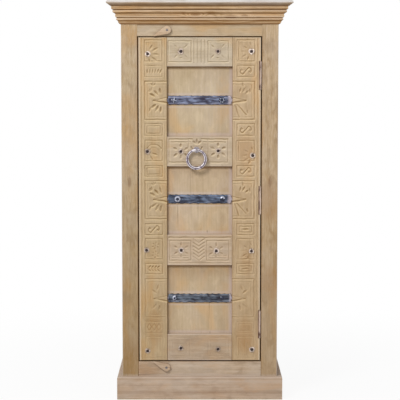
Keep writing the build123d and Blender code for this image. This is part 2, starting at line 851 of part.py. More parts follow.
with BuildPart() as button_washers:
    for pivot_x, pivot_z in button_pivots.values():
        rod(pivot_x, pivot_z, face_y - washer_thickness, face_y, washer_radius)
    drive(button_screw_hole, button_screw_places, mode=Mode.SUBTRACT)
save(button_washers, "turn_button_washers")

with BuildPart() as button_screws:
    drive(button_screw, button_screw_places)
save(button_screws, "turn_button_screws")
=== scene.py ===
import math
import random

import bpy
import numpy as np
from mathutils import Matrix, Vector


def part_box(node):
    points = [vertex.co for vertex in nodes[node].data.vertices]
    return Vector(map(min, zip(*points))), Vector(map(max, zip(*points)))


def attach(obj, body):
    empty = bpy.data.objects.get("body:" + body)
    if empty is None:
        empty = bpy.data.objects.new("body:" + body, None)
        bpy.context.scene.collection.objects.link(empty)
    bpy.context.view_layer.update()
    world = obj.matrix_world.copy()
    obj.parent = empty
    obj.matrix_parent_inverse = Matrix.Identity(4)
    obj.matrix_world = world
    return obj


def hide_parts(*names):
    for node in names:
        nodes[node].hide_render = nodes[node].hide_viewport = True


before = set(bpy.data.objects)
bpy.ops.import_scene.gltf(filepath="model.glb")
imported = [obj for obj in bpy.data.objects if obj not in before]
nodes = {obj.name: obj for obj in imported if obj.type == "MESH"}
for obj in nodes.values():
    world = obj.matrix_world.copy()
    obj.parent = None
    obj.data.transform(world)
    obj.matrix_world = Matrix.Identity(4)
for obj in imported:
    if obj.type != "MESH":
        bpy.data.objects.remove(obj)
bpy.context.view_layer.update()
bpy.ops.object.select_all(action="DESELECT")

# --- Studio ----------------------------------------------------------------------------------------
# A white floor that runs out of sight under an even white sky, a large soft lamp high on the left and
# a weak one low on the right. The camera stands at eye height, far off, and looks a little down.


class Value:
    """An output socket that takes part in sums; each operation lays a Math node."""

    def __init__(self, finish, socket):
        self.finish, self.socket = finish, socket

    def math(self, operation, *others):
        return self.finish.node("ShaderNodeMath", {"operation": operation}, [self, *others])

    def __add__(self, other):
        return self.math("ADD", other)

    def __sub__(self, other):
        return self.math("SUBTRACT", other)

    def __mul__(self, other):
        return self.math("MULTIPLY", other)

    def __pow__(self, other):
        return self.math("POWER", other)

    def __rsub__(self, other):
        return self.finish.node("ShaderNodeMath", {"operation": "SUBTRACT"}, [other, self])

    __radd__ = __add__
    __rmul__ = __mul__

    def between(self, low, high):
        """0 up to low, 1 from high, smooth in between; with low above high it falls instead."""
        ends = {"From Min": low, "From Max": high}
        if low > high:
            ends = {"From Min": high, "From Max": low, "To Min": 1.0, "To Max": 0.0}
        settings = {"interpolation_type": "SMOOTHSTEP"}
        return self.finish.node("ShaderNodeMapRange", settings, {"Value": self, **ends})

    def near(self, place, reach):
        """1 at place, falling smoothly to 0 at reach on either side of it."""
        return (self - place).math("ABSOLUTE").between(reach, 0.0)


class Finish:
    """The nodes of one material, or of the sky, with the constants of its shader."""

    def __init__(self, holder, constants):
        holder.use_nodes = True
        self.holder, self.tree = holder, holder.node_tree
        self.shader = self.tree.nodes.get("Principled BSDF")
        for name, number in constants.items():
            self.shader.inputs[name].default_value = number

    def node(self, kind, settings, sockets, output=0):
        """Lay a node, set it up, fill or link its sockets, and hand back one of its outputs."""
        laid = self.tree.nodes.new(kind)
        for name, setting in settings.items():
            setattr(laid, name, setting)
        for key, value in sockets.items() if isinstance(sockets, dict) else enumerate(sockets):
            socket = laid.inputs[key]
            if isinstance(value, Value):
                self.tree.links.new(value.socket, socket)
            elif socket.type == "RGBA":
                socket.default_value = (*value, 1.0)
            else:
                socket.default_value = value
        return Value(self, laid.outputs[output])

    def seen(self):
        """1 for what the camera sees directly, in metal or through glass."""
        camera, glossy, through = (
            self.node("ShaderNodeLightPath", {}, {}, ray)
            for ray in ("Is Camera Ray", "Is Glossy Ray", "Is Transmission Ray")
        )
        return (camera + glossy + through).math("MINIMUM", 1.0)

    def place(self):
        """x, y and z of the point on the object, in metres, and the point itself."""
        point = self.node("ShaderNodeTexCoord", {}, {}, "Object")
        return (*(self.node("ShaderNodeSeparateXYZ", {}, [point], i) for i in range(3)), point)

    def reading(self, name):
        """A number that each vertex of the mesh carries under this name."""
        return self.node("ShaderNodeAttribute", {"attribute_name": name}, {}, 2)

    def noise(self, point, shift, scale, detail=3.0, distortion=0.0, stretch=(1.0, 1.0, 1.0)):
        """Fractal noise on the point, moved by shift and then stretched along each axis."""
        moved = self.node("ShaderNodeVectorMath", {"operation": "ADD"}, [point, shift])
        spread = self.node("ShaderNodeVectorMath", {"operation": "MULTIPLY"}, [moved, stretch])
        sockets = {"Vector": spread, "Scale": scale, "Detail": detail, "Distortion": distortion}
        return self.node("ShaderNodeTexNoise", {}, sockets)

    def painted(self, colour, coats):
        """The colour with coats laid over it in turn, each a (mask, paint) that covers where mask is 1."""
        settings = {"data_type": "RGBA", "clamp_factor": True}
        for mask, paint in coats:
            colour = self.node("ShaderNodeMix", settings, {0: mask, 6: colour, 7: paint}, 2)
        return colour

    def surface(self, colour, roughness, height, distance):
        """Feed the shader a colour, a roughness and a relief, and hand back the material."""
        relief = {"Height": height, "Strength": 0.5, "Distance": distance}
        bump = self.node("ShaderNodeBump", {}, relief)
        for socket, value in (("Base Color", colour), ("Roughness", roughness), ("Normal", bump)):
            self.tree.links.new(value.socket, self.shader.inputs[socket])
        return self.holder


floor_paint = Finish(
    bpy.data.materials.new("studio_floor"), {"Base Color": (0.88, 0.88, 0.87, 1), "Roughness": 0.9}
)
x, y, z, point = floor_paint.place()
away = (x * x + y * y).math("SQRT").between(0.4, 2.6)
glow = floor_paint.node("ShaderNodeEmission", {}, {"Color": (1, 1, 1), "Strength": 1.0})
blend = floor_paint.node(
    "ShaderNodeMixShader", {},
    [floor_paint.seen() * (away * 0.08 + 0.92), Value(floor_paint, floor_paint.shader.outputs[0]), glow],
)
floor_paint.tree.links.new(blend.socket, floor_paint.tree.nodes["Material Output"].inputs["Surface"])

bpy.ops.mesh.primitive_plane_add(size=80, location=(0, 0, 0))
floor = bpy.context.object
floor.name = "floor"
floor.data.materials.append(floor_paint.holder)

bpy.context.scene.world = bpy.data.worlds.new("sky")
sky = Finish(bpy.context.scene.world, {})
sky_level = sky.seen() * 0.56 + 0.44
sky_light = sky.tree.nodes["Background"]
sky_light.inputs["Color"].default_value = (1, 1, 1, 1)
sky.tree.links.new(sky_level.socket, sky_light.inputs["Strength"])


def soft_lamp(name, place, target, size, power):
    """Hang a square lamp at place, turned to target."""
    bpy.ops.object.light_add(type="AREA", location=place)
    lamp = bpy.context.object
    lamp.name = name
    lamp.data.shape = "SQUARE"
    lamp.data.size = size
    lamp.data.energy = power
    aim = [t - p for t, p in zip(target, place)]
    tilt = math.atan2(math.hypot(aim[0], aim[1]), -aim[2])
    lamp.rotation_euler = (tilt, 0, math.atan2(aim[1], aim[0]) - math.pi / 2)


soft_lamp("key_lamp", (-2.4, -4.0, 4.5), (0, -0.2, 0.9), 1.5, 182)
soft_lamp("fill_lamp", (2.6, -4.2, 1.6), (0, -0.2, 1.0), 2.2, 10)

bpy.ops.object.camera_add(location=(0, -6.353, 1.525), rotation=(math.radians(90 - 5.468), 0, 0))
camera = bpy.context.object
camera.data.lens = 120.2
camera.data.sensor_width = 36
camera.data.shift_x = 0.00075
bpy.context.scene.camera = camera
bpy.context.scene.view_settings.view_transform = "Standard"

# --- Carcass ---------------------------------------------------------------------------------------
# Side boards, top and bottom boards, shelves on cleats, lapped back planks and the door stops, of
# planed softwood: limed and brushed outside, nearly bare within.

LIME = (203, 190, 176)


def srgb(colour):
    """A colour read off a paint chart, 0 to 255, as linear light."""
    return tuple(((max(c, 0) / 255 + 0.055) / 1.055) ** 2.4 for c in colour)


def toned(colour, red, green, blue):
    """The colour with each part moved by so many steps of 255, as linear light."""
    return srgb((colour[0] + red, colour[1] + green, colour[2] + blue))


def wear(x, y, z, marks):
    """One mask of the soft lines at the given (axis, place, reach) marks, 0.75 strong or as they say."""
    total = None
    for axis, where, reach, *strength in marks:
        line = {"x": x, "y": y, "z": z}[axis].near(where, reach) * (strength[0] if strength else 0.75)
        total = line if total is None else total.math("MAXIMUM", line)
    return total


def limed_wood(
    name, grain, seed, tint, lime=0.4, rings=0.25, figure=1.0, knots=(), stains=(), pale=(), grimy=(),
    within=None, front=None, dusk=0.0, carved=False, wash=LIME,
):
    """Brushed and limed softwood with its grain along one axis of the board.

    Knots are (x, z, size), and so are stains, soft brown patches. Figure is how strongly the grain
    shows, and dusk darkens the board towards the floor. The pale marks are limed or rubbed edges, some
    of them painted highlights where an edge faces the light. The dark marks are dirt, many of them
    painted shade in gaps, in corners and under what stands over them. Both are kept within a span of z
    and in front of a y where these are given. On a carved board the cuts are darkened with dirt and
    painted shade, and the facets under their upper lips carry painted shade. The facets that face up
    carry a painted highlight, and the arrises are rubbed pale, which stands as a painted highlight too."""
    wood = Finish(bpy.data.materials.new(f"wood_{name}"), {"Specular IOR Level": 0.22})
    x, y, z, point = wood.place()
    along = {"x": 0, "y": 1, "z": 2}[grain]
    shift = (seed * 1.37, seed * 2.71, seed * 0.93)

    def grained(ratio, scale, detail, distortion=0.0, move=0.0):
        stretch = tuple(ratio if axis == along else 1.0 for axis in range(3))
        return wood.noise(point, tuple(s + move for s in shift), scale, detail, distortion, stretch)

    def spot(spot_x, spot_z, size, stretch):
        far_x = (x - spot_x) * ((1.0 if along == 2 else stretch) / size)
        far_z = (z - spot_z) * ((stretch if along == 2 else 1.0) / size)
        return far_x * far_x + far_z * far_z

    def tone(red, green, blue):
        return toned(tint, red, green, blue)

    hair = grained(0.022, 1300.0, 2.0)
    fibre = grained(0.03, 420.0, 4.0)
    streak = grained(0.06, 105.0, 4.0, 0.3)
    band = grained(0.14, 30.0, 3.0, 0.6)
    mottle = grained(0.55, 34.0, 5.0, 0.5, 2.2)
    patch = grained(0.45, 9.0, 3.0, 0.6)
    cloud = grained(0.7, 5.0, 4.0, 0.8, 4.1)
    blot = wood.noise(point, shift, 75.0, 4.0, 0.6)
    split = grained(0.014, 230.0, 1.0, 0.0, 7.3).between(0.68, 0.73)
    split = split * grained(0.2, 9.0, 2.0, 0.0, 9.9).between(0.5, 0.6)
    film = cloud.between(0.4, 0.68) * hair.between(0.35, 0.6) * lime

    coats = [
        (streak.between(0.3, 0.7) * figure, tone(12, 13, 15)),
        (band.between(0.45, 0.68) * figure * 0.5, tone(-20, -22, -25)),
        (mottle.between(0.5, 0.32) * figure * 0.6, tone(-24, -25, -24)),
        (mottle.between(0.5, 0.68) * 0.6, tone(14, 14, 13)),
        (patch.between(0.48, 0.68) * 0.75, tone(8, -7, -22)),
    ]
    for stain_x, stain_z, size in stains:
        stained = spot(stain_x, stain_z, size, 0.5).between(1.0, 0.0) * mottle.between(0.1, 0.5)
        coats.append((stained * 0.6, tone(-20, -38, -52)))
    if rings:
        # Growth rings: contour lines of a long smooth hill, bent round the knots
        hill = grained(0.07, 5.0, 1.0, 0.2) * 70 + (z if along != 2 else x + y) * 480
        for knot_x, knot_z, size in knots:
            far = spot(knot_x, knot_z, size, 0.3)
            hill = hill + (far * -0.5).math("EXPONENT") * 22
            coats.append((far.between(0.7, 0.08) * 0.8, tone(-60, -72, -78)))
        late = (hill.math("SINE") * 0.5 + 0.5) ** 2.5
        coats.append((late * band.between(0.25, 0.5) * rings, tone(-40, -46, -50)))
    coats += [
        (fibre.between(0.52, 0.72) * figure * 0.4, tone(-32, -35, -36)),
        (hair.between(0.56, 0.7) * figure * 0.5, tone(-44, -48, -48)),
        (blot.between(0.58, 0.78) * 0.4, tone(-28, -31, -32)),
        (film, srgb(wash)),
        (hair.between(0.44, 0.36) * figure * 0.4, toned(LIME, 2, -2, -6)),
    ]
    if carved:
        hollow, ledge = wood.reading("hollow"), wood.reading("ledge")
        # Arrises beside the cuts rubbed pale and painted as highlight, the cuts darkened with dirt and
        # painted shade, painted shade on facets that face down, and a painted highlight on facets that face
        # up
        coats += [
            (hollow.between(-0.1, -0.7) * streak.between(0.2, 0.5) * 0.45, tone(24, 24, 22)),
            (hollow.between(0.3, 1.8) * (mottle.between(0.35, 0.6) * 0.4 + 0.3), tone(-58, -66, -76)),
            (ledge.between(-0.12, -0.7) * 0.6, tone(-52, -58, -68)),
            (ledge.between(0.12, 0.6) * (blot * 0.6 + 0.35), tone(34, 36, 30)),
        ]
    if dusk:
        coats.append((z.between(1.5, 0.25) * dusk, tone(-44, -54, -74)))
    # The pale marks lay lime and painted highlights; the dark ones lay dirt and painted shade
    for marks, veil, paint in ((pale, streak, toned(wash, 4, 2, 2)), (grimy, patch, tone(-72, -88, -104))):
        if marks:
            mask = wear(x, y, z, marks) * veil.between(0.1, 0.5)
            if within:
                low, high = within
                mask = mask * z.between(low - 0.004, low) * z.between(high + 0.004, high)
            if front:
                mask = mask * y.between(front, front - 0.005)
            coats.append((mask, paint))
    coats.append((split * (0.15 if carved else 0.7), tone(-80, -86, -84)))
    roughness = 0.52 + fibre * 0.2 + film * 0.15
    height = fibre * -0.5 + hair * -0.4 + streak * 0.4 + blot * 0.2 - split * 1.5
    return wood.surface(wood.painted(tone(-3, -4, -4), coats), roughness, height, 0.0008)


def finish_node(name, material):
    """Give a piece of the solid model its material."""
    nodes[name].data.materials.clear()
    nodes[name].data.materials.append(material)


def lime_node(name, grain, seed, tint, **looks):
    """Give a piece of the solid model limed wood of its own."""
    finish_node(name, limed_wood(name, grain, seed, tint, **looks))


def span(name, axis=2):
    """Where a piece of the solid model starts and ends along an axis, to a hundredth of a millimetre."""
    return [round(corner[axis], 5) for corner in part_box(name)]


plinth_top, crown_foot = span("plinth_front")[1], span("cornice_front")[0]
# The sides carry painted shade where they meet the plinth and the cornice
for seed, name in ((5.0, "side_left"), (6.0, "side_right")):
    lime_node(
        name, "z", seed, (176, 151, 120), dusk=0.35, pale=[("y", 0.26, 0.006)],
        grimy=[("z", plinth_top, 0.025), ("z", crown_foot, 0.02), ("y", -0.167, 0.004)],
    )

INSIDE = (
    ("bottom_board", "x"), ("top_board", "x"), ("shelf_lower", "x"), ("shelf_middle", "x"),
    ("shelf_upper", "x"), ("shelf_cleats", "y"), ("back_planks", "z"), ("rear_rail", "x"),
    ("door_stops", "z"),
)
for seed, (name, grain) in enumerate(INSIDE):
    lime_node(name, grain, 8.0 + seed, (186, 155, 114), lime=0.12, rings=0.4)

# --- Face frame ------------------------------------------------------------------------------------
# Two stiles and two rails, tenoned together, that the door closes into. The lime has gone honey grey,
# the stiles are darker towards the foot, and dirt with painted shade from the door gap outlines the
# opening. Painted shade lies under the cornice.

opening_half, body_half = span("frame_stile_right", 0)
opening_foot, opening_head = span("frame_rail_bottom")[1], span("frame_rail_top")[0]
for seed, name, side, tint, dusk, stains in (
    (1.0, "left", -1, (182, 159, 125), 0.42, [(-0.325, 0.2, 0.06)]),
    (2.0, "right", 1, (188, 162, 127), 0.34, [(0.325, 0.93, 0.06), (0.33, 0.55, 0.05)]),
):
    # The dark lines at the edges of the opening are dirt and painted shade from the door gap
    lime_node(
        f"frame_stile_{name}", "z", seed, tint, rings=0.2, figure=1.4, knots=[(side * 0.325, 1.02, 0.012)],
        stains=stains, pale=[("x", side * body_half, 0.004), ("z", plinth_top, 0.014, 0.5)],
        grimy=[("x", -opening_half, 0.0045, 0.95), ("x", opening_half, 0.0045, 0.7)],
        within=(plinth_top, opening_head), front=-0.188, dusk=dusk,
    )
# Painted shade under the cornice and along the edges of the door gap
lime_node(
    "frame_rail_top", "x", 3.0, (187, 166, 135), rings=0.15, figure=0.7,
    grimy=[("z", opening_head, 0.003), ("z", crown_foot, 0.01)],
)
lime_node(
    "frame_rail_bottom", "x", 4.0, (190, 168, 143), lime=0.6, rings=0.2, stains=[(-0.262, 0.135, 0.05)],
    pale=[("z", plinth_top, 0.016, 0.6)], grimy=[("z", opening_foot, 0.003)],
)

# --- Plinth ----------------------------------------------------------------------------------------
# Three boards planted round the foot, mitred at the front corners, with a rounded top edge that the
# lime wash has settled on. That edge is also painted lighter as a highlight, with a line of painted
# shade under it. The grain runs along them, and mopping has greyed them.

RUNS = (("front", "x"), ("left", "y"), ("right", "y"))
for seed, (place, grain) in enumerate(RUNS):
    # A painted highlight along the rounded top edge, with a line of painted shade just under it
    lime_node(
        f"plinth_{place}", grain, 20.0 + seed, (187, 163, 140), lime=0.5, rings=0.15, figure=0.75,
        pale=[("z", plinth_top - 0.002, 0.005, 0.5), ("z", 0.085, 0.014, 0.3)],
        grimy=[("z", plinth_top - 0.008, 0.003, 0.25), ("z", 0.034, 0.016, 0.25)],
    )

# --- Cornice ---------------------------------------------------------------------------------------
# A run moulding of coves, beads and quirks, mitred at the front corners, under a cap board with a
# rounded edge. The quirks and the underside of the cap carry painted shade, the beads carry painted
# highlights, and the rounded edge of the cap is painted a cool near white as a highlight.

# Painted shade in the quirks
quirk_shade = [
    ("z", crown_foot + height, reach, strength)
    for height, reach, strength in (
        (0.003, 0.005, 0.85), (0.011, 0.006, 0.3), (0.0165, 0.0045, 0.7), (0.0294, 0.0035, 0.4),
        (0.0495, 0.005, 0.8), (0.0658, 0.0035, 0.45), (0.0815, 0.004, 0.6),
    )
]
# Painted highlights along the beads
beads = [("z", crown_foot + height, 0.005, 0.7) for height in (0.0235, 0.035, 0.0595)]
for seed, (place, grain) in enumerate(RUNS):
    lime_node(
        f"cornice_{place}", grain, 30.0 + seed, (200, 168, 127), lime=0.15, rings=1.0, pale=beads,
        grimy=quirk_shade, knots=[(-0.019, 1.7846, 0.009), (0.142, 1.776, 0.014), (0.205, 1.781, 0.008)],
        wash=(208, 187, 160),
    )
# The cap's rounded edge is painted near white as a highlight, and painted shade lies under it
cap_foot, cap_top = span("cornice_cap")
lime_node(
    "cornice_cap", "x", 34.0, (176, 152, 122), lime=0.3, rings=0.15, wash=(222, 222, 222),
    pale=[("z", cap_top + 0.0005, 0.017), ("z", cap_top - 0.006, 0.008)], grimy=[("z", cap_foot, 0.01)],
)

# --- Door panels -----------------------------------------------------------------------------------
# Three thin boards, bevelled all round and held in grooves. The bevels at the foot and the right are
# painted pale as highlight, and a lime halo lies round each strap. Painted shade lies under the rails,
# under the straps and along the left stile, and a darker band runs towards the right.

RAIL_SPANS = [span(f"door_rail_{row}") for row in ("bottom", "lower", "upper", "top")]
STRAP_HEIGHTS = [sum(span(f"strap_{place}")) / 2 for place in ("bottom", "middle", "top")]
door_inner, door_outer = span("door_stile_right", 0)
for seed, (place, tint, shade) in enumerate(
    (("bottom", (197, 175, 143), 0.36), ("middle", (197, 174, 142), 0.24), ("top", (197, 177, 145), 0.2))
):
    low, strap, high = RAIL_SPANS[seed][1], STRAP_HEIGHTS[seed], RAIL_SPANS[seed + 1][0]
    # The pale bevel marks at the foot and the right are painted highlight, and the pale lines round the
    # strap are lime. The dark marks under the rail, under the strap and along the left stile are painted
    # shade, and the line at the foot is dirt and painted shade.
    lime_node(
        f"door_panel_{place}", "z", 40.0 + seed, tint, lime=0.3, rings=0.1, figure=0.42,
        pale=[
            ("z", low + 0.008, 0.016, 0.6), ("x", 0.146, 0.018), ("z", strap + 0.026, 0.012, 0.5),
            ("z", strap - 0.031, 0.007, 0.4),
        ],
        grimy=[
            ("z", high, 0.026, 0.8), ("z", high, 0.11, shade), ("z", low + 0.001, 0.003, 0.4),
            ("z", strap - 0.023, 0.006, 0.45), ("x", 0.108, 0.045, 0.16), ("x", -door_inner, 0.006, 0.5),
            ("x", -door_inner, 0.07, shade * 0.6),
        ],
        wash=(203, 188, 180), front=-0.173,
    )

# --- Carved door stiles ----------------------------------------------------------------------------
# Two old boards, carved with a V tool and gouges in a row of fields: squares beside the studs, small
# cartouches, and long fields with a half flower that opens from the inner edge at each strap.

FACE = span("door_stile_left", 1)[0]


class Carving:
    """How deep each point of a board's fine grid is cut, in metres."""

    def __init__(self, across, upward):
        self.across, self.upward = np.array(across), np.array(upward)
        self.depth = np.zeros((len(upward), len(across)))

    def lower(self, low, high, shape):
        """Deepen the points between two corners to what shape(x, z) asks for."""
        left, right = np.searchsorted(self.across, (low[0], high[0]))
        foot, head = np.searchsorted(self.upward, (low[1], high[1]))
        x, z = np.meshgrid(self.across[left:right], self.upward[foot:head])
        waver = 0.0005 * np.sin(z * 83 + x * 31) + 0.0003 * np.sin(z * 197 + 1.0)
        drift = 0.0005 * np.sin(x * 97 + z * 23) + 0.0003 * np.sin(x * 211 + 2.0)
        area = self.depth[foot:head, left:right]
        np.maximum(area, shape(x + waver, z + drift), out=area)

    def groove(self, start, end, width=0.0085, depth=0.0038):
        """A V tool drawn from start to end."""
        (ax, az), (bx, bz) = start, end
        run = max(math.hypot(bx - ax, bz - az), 1e-6)

        def wedge(x, z):
            t = np.clip(((x - ax) * (bx - ax) + (z - az) * (bz - az)) / run**2, 0, 1)
            off = np.hypot(x - ax - t * (bx - ax), z - az - t * (bz - az))
            return depth * np.clip(1 - 2 * off / width, 0, 1)

        low = (min(ax, bx) - width, min(az, bz) - width)
        self.lower(low, (max(ax, bx) + width, max(az, bz) + width), wedge)

    def arc(self, centre, radius, start, end, width=0.008, depth=0.0042):
        """A V tool drawn round a centre from one angle to another, in degrees."""
        cx, cz = centre
        middle, half = math.radians((start + end) / 2), math.radians((end - start) / 2)

        def wedge(x, z):
            angle = np.arctan2(z - cz, x - cx) - middle
            angle = np.abs((angle + math.pi) % (2 * math.pi) - math.pi)
            past = np.clip(angle - half, 0, None) * radius
            off = np.hypot(np.hypot(x - cx, z - cz) - radius, past)
            return depth * np.clip(1 - 2 * off / width, 0, 1)

        reach = radius + width
        self.lower((cx - reach, cz - reach), (cx + reach, cz + reach), wedge)

    def leaf(self, root, angle, length, width=0.015, depth=0.0056):
        """A gouge driven out from the root at an angle, to leave a pointed hollow."""
        c, s = math.cos(math.radians(angle)), math.sin(math.radians(angle))
        cx, cz = root[0] + c * length / 2, root[1] + s * length / 2

        def hollow(x, z):
            u = ((x - cx) * c + (z - cz) * s) / (length / 2)
            v = ((z - cz) * c - (x - cx) * s) / (width / 2)
            return depth * np.clip(np.clip(1 - u**2, 0, 1) - np.abs(v), 0, 1) ** 0.7

        reach = length / 2 + 0.001
        self.lower((cx - reach, cz - reach), (cx + reach, cz + reach), hollow)

    def spread(self, root, side, cuts, width=0.015, depth=0.0056, tool="gouge"):
        """Cuts round a root, each an (angle, gap, length), mirrored where side is positive."""
        for angle, gap, length in cuts:
            way = angle if side < 0 else 180 - angle
            c, s = math.cos(math.radians(way)), math.sin(math.radians(way))
            start = (root[0] + c * gap, root[1] + s * gap)
            if tool == "gouge":
                self.leaf(start, way, length, width, depth)
            else:
                self.groove(start, (start[0] + c * length, start[1] + s * length), width, depth)

    def path(self, points, width, depth):
        """V cuts from each point to the next."""
        for start, end in zip(points, points[1:]):
            self.groove(start, end, width, depth)

    def border(self, low, high, width=0.0085, depth=0.0034):
        """Four V cuts round a rectangle."""
        self.path([low, (high[0], low[1]), high, (low[0], high[1]), low], width, depth)

    def ground(self, low, high, depth=0.0014, slope=0.004):
        """Take the ground down between two corners, with sloping sides."""

        def bed(x, z):
            beside = np.minimum(x - low[0], high[0] - x)
            return depth * np.clip(np.minimum(beside, np.minimum(z - low[1], high[1] - z)) / slope, 0, 1)

        self.lower(low, high, bed)

    def punch(self, centre, radius=0.0036, depth=0.0042):
        """A round punch struck once."""
        cx, cz = centre

        def pit(x, z):
            return depth * np.clip(1 - np.hypot(x - cx, z - cz) / radius, 0, 1)

        self.lower((cx - radius, cz - radius), (cx + radius, cz + radius), pit)

    def punched_border(self, low, high, step=0.0078):
        """Punch marks in a row round a rectangle."""
        for edge_z in (low[1], high[1]):
            for mark_x in np.arange(low[0], high[0] + 0.001, step):
                self.punch((mark_x, edge_z))
        for edge_x in (low[0], high[0]):
            for mark_z in np.arange(low[1] + step, high[1] - 0.001, step):
                self.punch((edge_x, mark_z))

    def rubbed(self, passes, strength=1.0):
        """The depths with every arris worn down, pass by pass, and the whole made shallower."""
        x, z = np.meshgrid(self.across, self.upward)
        uneven = 0.14 * np.sin(x * 71 + z * 17) * np.sin(z * 59 + 0.7) + 0.08 * np.sin(z * 143 + x * 89)
        depth = self.depth * (0.9 + uneven)
        for _ in range(passes):
            for axis in (0, 1):
                depth = depth * 0.6 + (np.roll(depth, -1, axis) + np.roll(depth, 1, axis)) * 0.2
        return depth * strength


def fine_lines(low, high, start, end, step):
    """Grid lines over a board: close together from start to end, with the rounded edges kept."""
    lines = {low, low + 0.0004, low + 0.001, low + 0.002, high - 0.002, high - 0.001, high - 0.0004, high}
    count = max(1, round((end - start) / step))
    lines |= {start + (end - start) * i / count for i in range(count + 1)}
    for a, b in ((low + 0.002, start), (end, high - 0.002)):
        pieces = int((b - a) / 0.006)
        lines |= {a + (b - a) * i / (pieces + 1) for i in range(1, pieces + 1)}
    return sorted(line for line in lines if low <= line <= high)


def write_reading(mesh, name, values):
    """Give each vertex of a mesh a number that its shader reads."""
    mesh.attributes.new(name, "FLOAT", "POINT").data.foreach_set("value", values)


def shaped_plate(name, x, y, z, back):
    """A plate whose front follows the x, y and z of its grid: its rim is drawn back and closed.

    Two attributes go with it: how far each point lies under its neighbours, in millimetres, and how
    steeply it faces up; both are 0 at the back."""
    rows, columns = y.shape
    bpy.ops.mesh.primitive_grid_add(x_subdivisions=columns - 1, y_subdivisions=rows - 1, size=1)
    plate = bpy.context.object
    plate.name = plate.data.name = name
    grid = np.empty(len(plate.data.vertices) * 3)
    plate.data.vertices.foreach_get("co", grid)
    grid = grid.reshape(-1, 3)
    column = np.rint((grid[:, 0] + 0.5) * (columns - 1)).astype(int)
    row = np.rint((grid[:, 1] + 0.5) * (rows - 1)).astype(int)
    front = np.stack([x[row, column], y[row, column], z[row, column]], axis=1)
    plate.data.vertices.foreach_set("co", front.ravel())
    soft = y.copy()
    for _ in range(12):
        for axis in (0, 1):
            soft = soft * 0.5 + (np.roll(soft, -1, axis) + np.roll(soft, 1, axis)) * 0.25
    facing_up = np.gradient(y, axis=0) / np.gradient(z, axis=0)
    facing_up = facing_up * 0.5 + (np.roll(facing_up, 1, 0) + np.roll(facing_up, -1, 0)) * 0.25
    bpy.ops.object.mode_set(mode="EDIT")
    bpy.ops.mesh.select_all(action="DESELECT")
    bpy.ops.mesh.select_mode(type="EDGE")
    bpy.ops.mesh.select_non_manifold(extend=False)
    bpy.ops.mesh.extrude_edges_move(TRANSFORM_OT_translate={"value": (0, back - FACE, 0)})
    bpy.ops.transform.resize(value=(1, 0, 1), center_override=(0, back, 0))
    bpy.ops.mesh.edge_face_add()
    bpy.ops.mesh.select_all(action="SELECT")
    bpy.ops.mesh.normals_make_consistent(inside=False)
    bpy.ops.object.mode_set(mode="OBJECT")
    for kind, values in (("hollow", (y - soft) * 1000), ("ledge", facing_up)):
        readings = np.zeros(len(plate.data.vertices))
        readings[: row.size] = values[row, column]
        write_reading(plate.data, kind, readings)
    bpy.ops.object.shade_smooth_by_angle(angle=math.radians(50))
    return plate


def carved_board(name, carving, depth, long_round, end_round, phase):
    """A board with its carved front, eased arrises and the slight swell that hand planing leaves."""
    x, z = np.meshgrid(carving.across, carving.upward)
    for spot, reach in ((x, long_round), (z, end_round)):
        if reach:
            inset = np.clip(np.minimum(spot - spot.min(), spot.max() - spot), 0, reach)
            depth = np.maximum(depth, reach - np.sqrt(reach**2 - (reach - inset) ** 2))
    swell = np.sin(x * 61 + phase) * np.sin(z * 13 + phase * 2) + np.sin(x * 137 + z * 29 + phase) * 0.4
    inset = np.minimum(np.minimum(x - x.min(), x.max() - x), np.minimum(z - z.min(), z.max() - z))
    depth = depth + (swell * 0.5 + 0.7) * 0.0004 * np.clip(inset / 0.01, 0, 1)
    return shaped_plate(name, x, FACE + depth, z, FACE + 0.029)


def drawn_in(low, high, across, upward=None):
    """The two corners of a field, each moved so far towards its middle."""
    upward = across if upward is None else upward
    return (low[0] + across, low[1] + upward), (high[0] - across, high[1] - upward)


def carve_rosette(carving, heart, petals, start, gap, length, width=0.013, depth=0.0048):
    """Leaves round a stud or a punch mark, their roots a gap away from it."""
    around = [(start + number * 360 / petals, gap, length) for number in range(petals)]
    carving.spread(heart, -1, around, width, depth)


def carve_square(carving, low, high, stud, side, kind):
    """A squared field beside its stud: a fan, arcs, flowers, a fan between lines or a worn star."""
    carving.border(low, high)
    carving.ground(*drawn_in(low, high, 0.006), 0.0016)
    inner = high[0] if side < 0 else low[0]
    if kind == "fan":
        fan = ((62, 0.036), (30, 0.046), (-4, 0.044), (-38, 0.044), (-76, 0.026))
        carving.spread(stud, side, [(angle, 0.016, length) for angle, length in fan])
        for step in range(3):
            mark = stud[0] + side * (0.006 - step * 0.0095)
            carving.groove((mark, high[1] - 0.01), (mark, high[1] - 0.022), 0.006, 0.0034)
    elif kind == "arcs":
        heart = (inner + side * 0.038, stud[1] - 0.004)
        carving.arc(heart, 0.036, 25, 150, 0.0095, 0.0052)
        carving.arc(heart, 0.022, 25, 150, 0.008, 0.0044)
        carving.spread(stud, side, ((-20, 0.018, 0.04), (-58, 0.018, 0.034)))
    elif kind == "flowers":
        for height in (0.021, -0.021):
            heart = (inner + side * 0.033, stud[1] + height)
            carving.punch(heart, 0.0055, 0.0046)
            carve_rosette(carving, heart, 6, 20, 0.006, 0.0145, 0.0095)
    elif kind == "lines":
        for step, depth in ((-0.004, 0.003), (0.007, 0.0046)):
            edge = inner + side * step
            carving.groove((edge, low[1] + 0.006), (edge, high[1] - 0.006), 0.008, depth)
        fan = ((34, 0.018, 0.032), (0, 0.018, 0.038), (-32, 0.018, 0.038), (-64, 0.018, 0.03))
        carving.spread(stud, side, fan, 0.013, 0.0046)
        carving.leaf((stud[0], stud[1] + 0.02), 90 + side * 14, 0.026, 0.011, 0.0048)
    else:
        carving.border(*drawn_in(low, high, 0.013), 0.008, 0.003)
        middle = ((low[0] + high[0]) / 2, (low[1] + high[1]) / 2)
        carve_rosette(carving, middle, 4, 45, 0.0, 0.028, 0.011, 0.0034)


